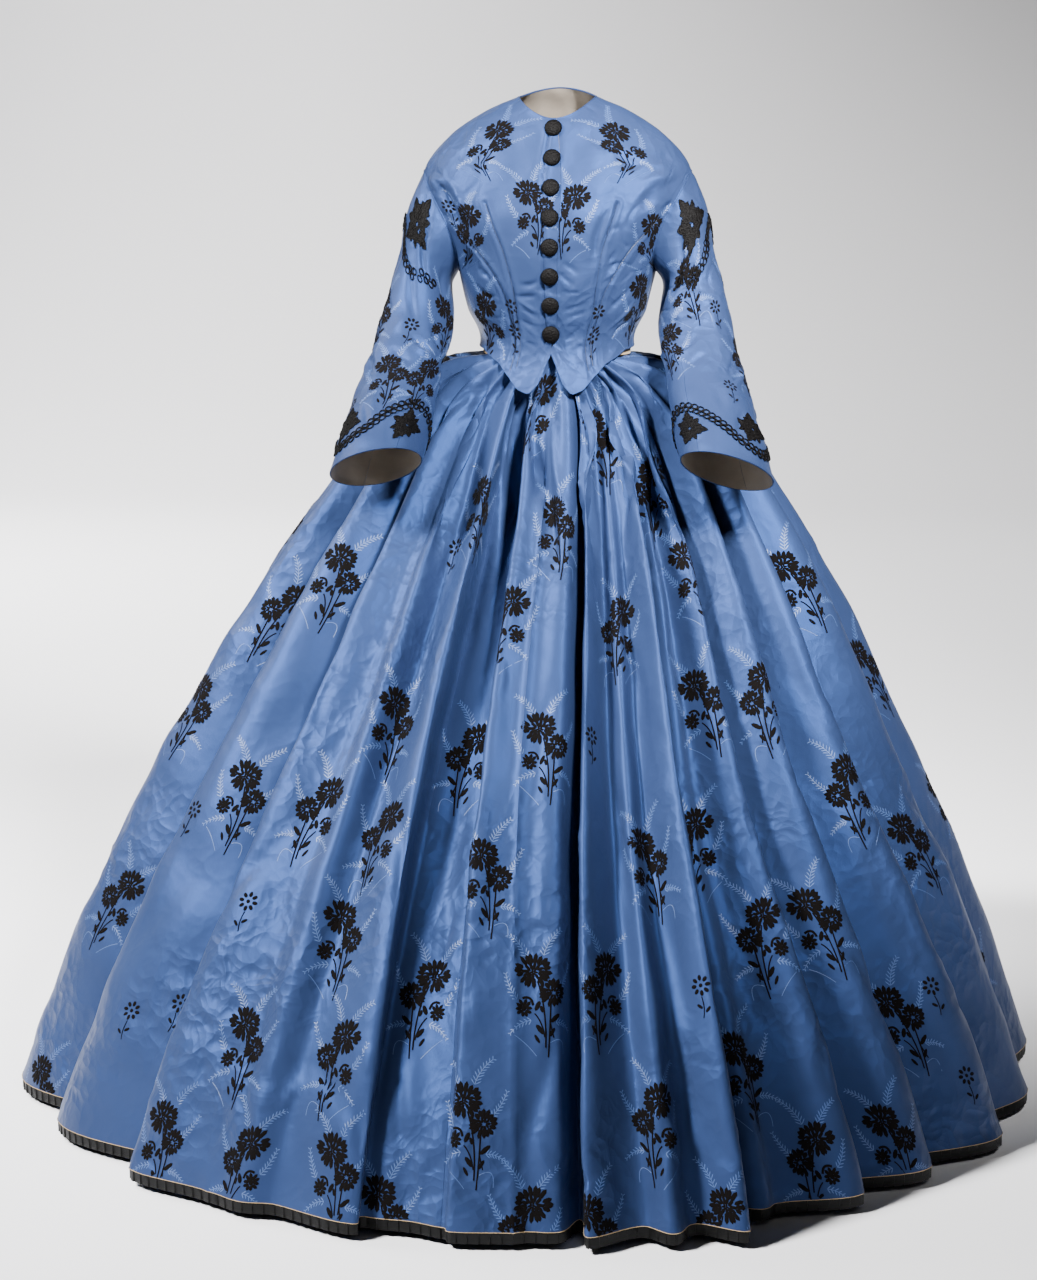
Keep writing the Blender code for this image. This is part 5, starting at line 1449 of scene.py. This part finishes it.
def chain_on_sleeve(name, side, turns, lengths_down, from_cuff):
    """Two staggered rows of rings along a route, given at many turns round the sleeve."""
    cloth = sleeve_cloths[side]
    rows, columns = np.array([sleeve_place(side, t, x, from_cuff) for t, x in zip(turns, lengths_down)]).T
    path = np.array([place_point(cloth, r, c) for r, c in zip(rows, columns)])
    run = np.concatenate([[0], np.cumsum(np.linalg.norm(np.diff(path, axis=0), axis=1))])
    count = int(round(run[-1] / RING_PITCH))
    placed = []
    for n in range(2 * count):
        at = run[-1] * (n + 0.5) / (2 * count)
        turn = float(np.interp(at, run, turns))
        length = float(np.interp(at, run, lengths_down))
        next_turn = float(np.interp(at + RING_LOOK_AHEAD, run, turns))
        next_length = float(np.interp(at + RING_LOOK_AHEAD, run, lengths_down))
        row, column = sleeve_place(side, turn, length, from_cuff)
        ahead = place_point(cloth, *sleeve_place(side, next_turn, next_length, from_cuff))
        ahead = ahead - place_point(cloth, row, column)
        i, j = int(round(row)), int(round(column))
        right = unit(cloth.points[i, j + 1] - cloth.points[i, j - 1])
        up = np.cross(cloth.normals[i, j], right)
        way = unit(np.array([ahead @ right, ahead @ up]))
        shape, heights, faces = crocheted_ring(0.0007 * (n % 2))
        offset = RING_STAGGER * (1 if n % 2 else -1) * np.array([-way[1], way[0]])
        placed.append((cloth, row, column, (shape + offset, heights, faces), False))
    return laid_pieces(name, black_crochet, placed)


def leaf_star(radius):
    """Ribbed leaves with corded edges round a ring, and a small ring in each gap."""
    star = Shapes()
    half = LEAF_HALF
    profile = STAR_CORD
    for n, share in enumerate(LEAF_LENGTHS):
        bearing = 2 * math.pi * n / len(LEAF_LENGTHS) + 0.12 * math.sin(5 * n)
        long = radius * share
        s, c = math.sin(bearing), math.cos(bearing)

        def turned(across, out):
            return long * (out * s + across * c), long * (out * c - across * s)

        rim = [turned(a, o) for a, o in half] + [turned(-a, o) for a, o in half[-2:0:-1]]
        star.fan(rim[::-1], turned(0, 0.5), 0.0006, 0.0014)
        for side in (1, -1):
            star.strip([turned(side * a, o) for a, o in half], profile)
            for rib in (0.36, 0.58):
                end = float(np.interp(rib + 0.08, [o for _, o in half], [a for a, _ in half]))
                star.strip([turned(0, rib), turned(side * end * 0.9, rib + 0.08)], profile)
        star.strip([turned(0, o) for o in (0.16, 0.5, 0.75, 0.96)], profile)
        gap = bearing + math.pi / len(LEAF_LENGTHS)
        centre = radius * 0.50 * math.sin(gap), radius * 0.50 * math.cos(gap)
        star.ring(centre, GAP_RING_RADIUS, profile)
    star.ring((0.0, 0.0), MIDDLE_RING_RADIUS, profile)
    return star.done()


cuff_star, cap_star = leaf_star(CUFF_STAR_RADIUS), leaf_star(CAP_STAR_RADIUS)
middle = 0.5 * (CUFF_CHAIN_LOW + CUFF_CHAIN_HIGH)
swing = 0.5 * (CUFF_CHAIN_HIGH - CUFF_CHAIN_LOW)
for arm, side in (("left", 1), ("right", -1)):
    turns = np.linspace(0, 360, 181)
    route = middle + swing * np.cos(np.radians(2 * (turns - CUFF_CHAIN_PEAK)))
    chain = chain_on_sleeve(f"ring_chain_cuff_{arm}", side, turns, route, True)
    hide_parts(f"cuff_chain_{arm}")
    start, end = CAP_STAR_ANGLES[1] - SWAG_REACH, CAP_STAR_ANGLES[0] + SWAG_REACH
    turns = np.linspace(start, end, 121)
    route = CAP_CHAIN_TOP + CAP_CHAIN_SAG * np.sin(2 * math.pi * (turns - start) / (end - start)) ** 2
    chain = chain_on_sleeve(f"ring_chain_cap_{arm}", side, turns, route, False)
    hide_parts(f"cap_chain_{arm}")
    for n in range(4):
        length = CUFF_CHAIN_LOW + CUFF_STAR_OFFSET if n % 2 else CUFF_CHAIN_HIGH - CUFF_STAR_OFFSET
        row, column = sleeve_place(side, CUFF_CHAIN_PEAK + 90 * n, length, True)
        placed = [(sleeve_cloths[side], row, column, cuff_star, False)]
        name = f"leaf_star_cuff_{arm}_{n + 1}"
        piece = laid_pieces(name, black_crochet, placed)
        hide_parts(f"cuff_star_{arm}_{n + 1}")
    for n, turn in enumerate(CAP_STAR_ANGLES):
        row, column = sleeve_place(side, turn, CAP_STAR_LENGTH, False)
        placed = [(sleeve_cloths[side], row, column, cap_star, False)]
        name = f"leaf_star_cap_{arm}_{n + 1}"
        piece = laid_pieces(name, black_crochet, placed)
        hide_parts(f"cap_star_{arm}_{n + 1}")


# The woven figures
# Flower sprigs in black velvet pile and fern sprays in pale blue silk, raised a little from the
# taffeta. The skirt's front ones stand as in view, the others in half-drop rows.


def velvet_pile():
    """Short dense black silk pile: it swallows light, with a faint sheen at its edges. Its tufts
    are drawn 0.7 mm across, coarser than real ones.
    """
    material, shader = new_material(
        "black_velvet_pile",
        Base_Color=linear("080606"),
        Roughness=0.85,
        Sheen_Weight=0.02,
        Sheen_Roughness=0.4,
        Specular_IOR_Level=0.05,
    )
    place = add_node(material, "ShaderNodeTexCoord").outputs["Object"]
    tufts = {"Scale": every(0.714), "Detail": 2.0}
    pile = add_node(material, "ShaderNodeTexNoise", None, tufts, {"Vector": place})
    rough = {"Strength": 0.6, "Distance": 0.0003}
    bump = add_node(material, "ShaderNodeBump", None, rough, {"Height": pile.outputs["Fac"]})
    return finish(material, shader, None, bump)


def pale_silk():
    """Floats of untwisted blue silk, a little paler and glossier than the ground."""
    material, shader = new_material("pale_blue_silk_floats", Roughness=0.45, Sheen_Weight=0.1)
    place = add_node(material, "ShaderNodeTexCoord")
    return finish(material, shader, mottled(material, place, 3.333, 2.0, "2E456E", "38548A"))


# The figures are drawn in millimetres, y up the cloth and bearings clockwise from straight up


def petals(shape, x, y, wide, high, count, length, width, turned=0):
    """A ring of ragged petals, each two narrow lobes, on an oval round x and y."""
    for k in range(count):
        bearing = 360 * k / count + turned + 7 * math.sin(3 * k)
        size = 1 + 0.20 * math.sin(5 * k + 1)
        for lobe in (-1, 1):
            a = math.radians(bearing + lobe * 90 / count)
            out = 1 + 0.05 * lobe * math.sin(2 * k)
            place = x + out * wide * math.sin(a), y + out * high * math.cos(a)
            shape.oval(*place, bearing + lobe * 9, length * size, 0.62 * width, count=6)


def flower_sprig(scale):
    """A broad open flower, a dense one, a rose and a bud on two long stems with leaves."""
    s = Shapes()
    petals(s, -9, 16, 18.0, 14.5, 10, 13.0, 9.6)
    petals(s, -8, 15, 9.4, 7.4, 6, 9.5, 7.0, 20)
    petals(s, -8, 14, 3.0, 2.6, 3, 6.0, 4.4)
    petals(s, 16, -11, 12.0, 11.5, 8, 11.0, 9.0, 10)
    petals(s, 16, -11, 5.2, 5.0, 5, 7.0, 5.2)
    petals(s, -19, -30, 6.4, 7.0, 5, 9.0, 7.4, 30)
    s.oval(-19, -30, 20, 7.5, 6.0)
    s.ribbon(arc((-21, -18), (-10, -13), (-8, -26), 8), 3.0, high=0.9)
    s.oval(-2.5, -27, 24, 13, 6.0)
    s.oval(2.5, -31, -16, 9, 4.2)
    s.ribbon(arc((-3, 3), (9, -32), (7, -76), 10), 1.9)
    s.ribbon(arc((13, -20), (13, -50), (10, -87), 10), 1.9)
    s.ribbon(arc((-6, -36), (3, -45), (6, -64), 7), 1.7)
    s.ribbon(arc((12, -44), (14, -54), (17, -64), 5), 1.6)
    s.oval(0.5, -55, -38, 15, 6.0)
    s.oval(19, -41, 48, 16, 6.0)
    s.oval(15, -58, 32, 13, 4.6)
    s.oval(-3, -66, -30, 12, 4.0)
    s.oval(2, -4, 30, 9, 4.4)
    return s.in_metres(scale)


def small_sprig(scale):
    """One small flower on a short stem with two leaves."""
    s = Shapes()
    for k in range(8):
        a = math.radians(45 * k)
        s.oval(9 * math.sin(a), 9 * math.cos(a), 45 * k, 7.2, 4.8)
    s.oval(0, 0, 0, 5, 5)
    s.ribbon(arc((1, -13), (-2, -26), (2, -38), 6), 1.4)
    s.oval(5, -24, 50, 9, 4)
    s.oval(-5, -29, -48, 9, 4)
    return s.in_metres(scale)


def fern_spray(scale):
    """Feathery curved ferns above and beside a sprig and tendrils below it."""
    s = Shapes()
    ferns = (
        (arc((-16, 34), (-25, 50), (-40, 58), 9), 9.5),
        (arc((4, 34), (9, 52), (24, 64), 9), 10.0),
        (arc((26, -2), (36, 8), (42, 26), 8), 8.0),
        (arc((-28, -20), (-38, -8), (-42, 10), 8), 8.5),
        (arc((20, -46), (30, -44), (43, -54), 7), 7.5),
        (arc((-10, -44), (-24, -46), (-35, -60), 7), 7.5),
    )
    for path, length in ferns:
        s.ribbon(path, 0.8, 0.12, 0.3)
        for k in range(len(path)):
            way = path[min(k + 1, len(path) - 1)] - path[max(k - 1, 0)]
            bearing = math.degrees(math.atan2(way[0], way[1]))
            size = length * (1 - 0.55 * k / len(path)) * (0.9 + 0.1 * math.sin(4 * k))
            for turn in (46, -50):
                a = math.radians(bearing + turn)
                x, y = path[k] + 0.5 * size * np.array([math.sin(a), math.cos(a)])
                s.oval(x, y, bearing + turn, size, 1.3, 0.12, 0.35, 5)
    s.ribbon(arc((13, -70), (32, -58), (30, -84), 10), 0.7, 0.12, 0.3)
    s.ribbon(arc((-30, -62), (-16, -70), (-4, -86), 10), 0.7, 0.12, 0.3)
    return s.in_metres(scale)


Figure = namedtuple("Figure", "u step size")
# Sprigs in view on the skirt: the sign of the size says which way a sprig faces, and a size under
# a half is a small one
SKIRT_FIGURES = (
    Figure(1.70, 0.993, 1), Figure(1.72, 0.805, -1), Figure(1.59, 0.631, 1), Figure(1.77, 0.526, -1),
    Figure(2.71, 0.484, 1), Figure(2.76, 0.680, 1), Figure(3.93, 0.678, -1), Figure(2.53, 0.710, -0.4),
    Figure(3.70, 0.765, 0.4), Figure(2.71, 0.880, 0.4), Figure(2.85, 0.860, -0.4), Figure(3.98, 0.867, 1),
    Figure(5.24, 0.862, -1), Figure(5.07, 0.770, 1), Figure(5.19, 0.690, -1), Figure(4.90, 0.600, 1),
    Figure(6.65, 0.616, -1), Figure(7.66, 0.717, 1), Figure(8.34, 0.617, 1), Figure(9.68, 0.615, -0.4),
    Figure(10.56, 0.515, -1), Figure(8.30, 0.418, 1), Figure(7.42, 0.512, -1), Figure(10.99, 0.707, 1),
    Figure(9.73, 0.802, -1), Figure(8.35, 0.802, 1), Figure(6.46, 0.805, -1), Figure(7.60, 0.902, 1),
    Figure(10.31, 0.904, -1), Figure(5.35, 0.954, 1), Figure(4.48, 0.961, -1), Figure(3.68, 0.959, 1),
    Figure(6.23, 0.991, 1), Figure(8.15, 0.989, -1), Figure(9.56, 0.991, 1), Figure(11.26, 0.992, -1),
    Figure(12.60, 0.873, 1), Figure(11.35, 0.813, -0.4), Figure(13.24, 0.959, -1), Figure(14.29, 0.962, 1),
    Figure(15.17, 0.869, 1), Figure(15.34, 0.856, -0.4), Figure(13.27, 0.772, -1), Figure(14.27, 0.771, 1),
    Figure(15.36, 0.678, -1), Figure(16.30, 0.743, 1), Figure(14.39, 0.589, -1), Figure(13.24, 0.581, 1),
    Figure(12.46, 0.691, -1), Figure(16.27, 0.491, 1), Figure(13.07, 0.369, -1), Figure(10.18, 0.292, 1),
    Figure(5.54, 0.399, 1), Figure(7.60, 0.213, -1), Figure(5.09, 0.441, -0.4), Figure(15.36, 0.938, -0.4),
    Figure(13.59, 0.466, 1),
)
FIGURE_SPACING = 0.165
FIGURE_STEPS = (0.17, 0.31, 0.455, 0.60, 0.745, 0.89)
FIRST_HIDDEN_FOLD, LAST_HIDDEN_FOLD = 17.0, 30.4
SKIRT_OVERLAP = 40
black_pile, pale_floats = velvet_pile(), pale_silk()


def weave_figures(part, sprig, bud, spray, placed):
    """The figures of one part of the dress: all its velvet as one piece, and all its ferns."""
    dark, light = [], []
    for place, size in placed:
        small, mirrored = abs(size) < 0.5, size < 0
        dark.append((*place, bud if small else sprig, mirrored))
        if not small:
            light.append((*place, spray, mirrored))
    laid_pieces(f"velvet_sprigs_{part}", black_pile, dark)
    laid_pieces(f"fern_sprays_{part}", pale_floats, light)


def hidden_figures(cloth):
    """Half-drop rows of sprigs round the back of the skirt, facing left and right by turns."""
    u = (np.arange(cloth.across.shape[1]) - SKIRT_OVERLAP) / COLUMNS_A_FOLD
    figures = []
    for k, step in enumerate(FIGURE_STEPS):
        across = cloth.across[int(step * (SKIRT_ROWS - 1))]
        first, last = np.interp((FIRST_HIDDEN_FOLD, LAST_HIDDEN_FOLD), u, across)
        drop = 0.5 * (k % 2) * FIGURE_SPACING
        for m, at in enumerate(np.arange(first + drop, last, FIGURE_SPACING)):
            figures.append(Figure(float(np.interp(at, across, u)), step, 1 if (m + k) % 2 else -1))
    return figures


skirt_cloth = widened(Cloth(skirt, skirt_out, lengths(skirt)[0], skirt_down), SKIRT_OVERLAP)
placed = []
for figure in (*SKIRT_FIGURES, *hidden_figures(skirt_cloth)):
    row, column = figure.step * (SKIRT_ROWS - 1), figure.u * COLUMNS_A_FOLD + SKIRT_OVERLAP
    placed.append(((skirt_cloth, row, column), figure.size))
weave_figures("skirt", flower_sprig(1.08), small_sprig(1.1), fern_spray(1.08), placed)


def bodice_place(angle, z):
    """The bodice cloth that has this place, and its row and column there."""
    front = "bodice_front_left" if angle > LAP_EDGE_ANGLE else "bodice_front_right"
    cloth = bodice_cloths["bodice_back" if 90 < angle % 360 < 270 else front]
    point = body(np.array(float(angle)), np.array(step_at(angle, z)))
    far = np.linalg.norm(cloth.points - point, axis=-1)
    row, column = np.unravel_index(int(far.argmin()), far.shape)
    return cloth, float(row), float(column)


# Angle, height and size, with the size read as on the skirt
BODICE_FIGURES = (
    (-37.0, 0.289, 0.9),
    (39.6, 0.289, -0.9),
    (-6.6, 0.205, 0.9),
    (8.0, 0.200, -0.9),
    (-43.2, 0.172, -0.9),
    (57.9, 0.158, 0.9),
    (-25.2, 0.062, 0.4),
    (31.2, 0.055, -0.4),
    (-26.5, 0.026, -0.4),
    (31.4, 0.020, 0.4),
    (-52.5, 0.200, 0.4),
    (-50.4, 0.050, -0.9),
    (67.0, 0.075, 0.9),
    (180, 0.275, 0.9),
    (150, 0.205, -0.9),
    (210, 0.205, 0.9),
    (180, 0.145, -0.9),
    (122, 0.125, 0.9),
    (238, 0.125, -0.9),
    (154, 0.070, -0.9),
    (206, 0.070, 0.9),
    (128, 0.275, 0.4),
    (232, 0.275, -0.4),
)
# Turn round the arm, step down the sleeve and size
RIGHT_SLEEVE_FIGURES = (
    (83.8, 0.66, 1),
    (137.8, 0.678, -1),
    (91.2, 0.450, -0.4),
    (20, 0.42, 1),
    (-40, 0.56, -1),
    (-95, 0.42, 1),
    (-150, 0.56, -1),
    (-30, 0.30, 1),
    (150, 0.34, 1),
    (-110, 0.72, 1),
    (30, 0.76, -0.4),
)
LEFT_SLEEVE_FIGURES = (
    (89.8, 0.232, 1),
    (10, 0.56, -1),
    (132, 0.545, 0.4),
    (60, 0.70, -0.4),
    (140, 0.50, -1),
    (-40, 0.60, 1),
    (-95, 0.45, -1),
    (-150, 0.60, 1),
    (-30, 0.32, -1),
    (48, 0.40, 0.4),
    (-110, 0.74, -1),
)
smaller_figures = flower_sprig(0.88), small_sprig(0.9), fern_spray(0.9)
placed = [(bodice_place(angle, z), size) for angle, z, size in BODICE_FIGURES]
weave_figures("bodice", *smaller_figures, placed)
for arm, side, figures in (("left", 1, LEFT_SLEEVE_FIGURES), ("right", -1, RIGHT_SLEEVE_FIGURES)):
    placed = []
    for turn, step, size in figures:
        _, column = sleeve_place(side, turn, 0.1, False)
        placed.append(((sleeve_cloths[side], step * (SLEEVE_ROWS - 1), column), size))
    weave_figures(f"sleeve_{arm}", *smaller_figures, placed)


# The camera, floor and studio light
# A pale paper floor that sweeps up far behind the dress. A soft key light stands high on the left
# and a weak one on the right, and three more light the paper behind and beside the dress.

CAMERA_PLACE = (0.3486, -3.9848, 0.30)
CAMERA_PITCH, CAMERA_YAW = 10.2836, 5.7857
CAMERA_LENS, CAMERA_SENSOR = 78.75, 36.0
FLOOR_Z = -1.075
PAPER_SIZE, PAPER_NEAR_EDGE = 26.0, -11.0
SWEEP_START, SWEEP_RADIUS = 6.5, 2.4


def pale_backdrop():
    """Matt seamless paper, white below and greyer up to the right, where less light falls."""
    material, shader = new_material("pale_seamless_paper", Roughness=0.95)
    place = add_node(material, "ShaderNodeTexCoord").outputs["Object"]
    axes = add_node(material, "ShaderNodeSeparateXYZ", None, None, {"Vector": place})
    height = add_node(
        material,
        "ShaderNodeMapRange",
        None,
        {"From Min": -1.07, "From Max": 1.6, "To Max": 1.0},
        {"Value": axes.outputs["Z"]},
    )
    side = add_node(
        material,
        "ShaderNodeMapRange",
        None,
        {"From Min": -1.8, "From Max": 1.6, "To Min": 0.22},
        {"Value": axes.outputs["X"]},
    )
    ways = {0: height.outputs["Result"], 1: side.outputs["Result"]}
    far = add_node(material, "ShaderNodeMath", {"operation": "MULTIPLY"}, None, ways)
    return finish(material, shader, blended(material, far.outputs[0], "FAF9FB", "757473"))


bpy.ops.object.select_all(action="DESELECT")
bpy.ops.mesh.primitive_grid_add(x_subdivisions=8, y_subdivisions=120, size=1)
floor = bpy.context.object
floor.name = "floor"
for vertex in floor.data.vertices:
    run = (vertex.co.y + 0.5) * PAPER_SIZE + PAPER_NEAR_EDGE
    turn = min(max((run - SWEEP_START) / SWEEP_RADIUS, 0), math.pi / 2)
    y = min(run, SWEEP_START) + SWEEP_RADIUS * math.sin(turn)
    wall = max(run - SWEEP_START - SWEEP_RADIUS * math.pi / 2, 0)
    z = FLOOR_Z + SWEEP_RADIUS * (1 - math.cos(turn)) + wall
    vertex.co = vertex.co.x * PAPER_SIZE, y, z
floor.data.shade_smooth()
floor.data.materials.append(pale_backdrop())

bpy.ops.object.camera_add(location=CAMERA_PLACE)
camera = bpy.context.object
camera.rotation_euler = (math.radians(90 - CAMERA_PITCH), 0, math.radians(CAMERA_YAW))
camera.data.lens = CAMERA_LENS
camera.data.sensor_width = CAMERA_SENSOR
bpy.context.scene.camera = camera


def area_light(place, target, size, power, spread=180):
    """A square soft light that faces its target, with its power in watts."""
    bpy.ops.object.light_add(type="AREA", location=place)
    light = bpy.context.object
    way = np.array(target) - np.array(place)
    flat = math.hypot(way[0], way[1])
    light.rotation_euler = (math.atan2(flat, -way[2]), 0, math.atan2(way[1], way[0]) - math.pi / 2)
    light.data.size = size
    light.data.energy = power
    light.data.spread = math.radians(spread)


area_light((-3.5, -2.5, 3.2), (-0.05, -0.2, -0.45), 1.0, 170, 66)
area_light((1.5, -2.6, 2.0), (0.36, 0, 0.20), 0.5, 44, 36)
area_light((-4.5, 3.2, 2.6), (-1.3, 5.0, -1.0), 2.0, 390, 110)
area_light((-3.5, 5.0, 3.0), (-1.8, 9.0, 0.6), 2.0, 190)
area_light((-2.4, 0.6, 1.2), (-1.3, 0.3, -1.07), 1.2, 26, 80)
world = bpy.data.worlds.new("studio")
bpy.context.scene.world = world
world.use_nodes = True
background = world.node_tree.nodes["Background"]
background.inputs["Color"].default_value = (0.80, 0.82, 0.86, 1)
background.inputs["Strength"].default_value = 0.03
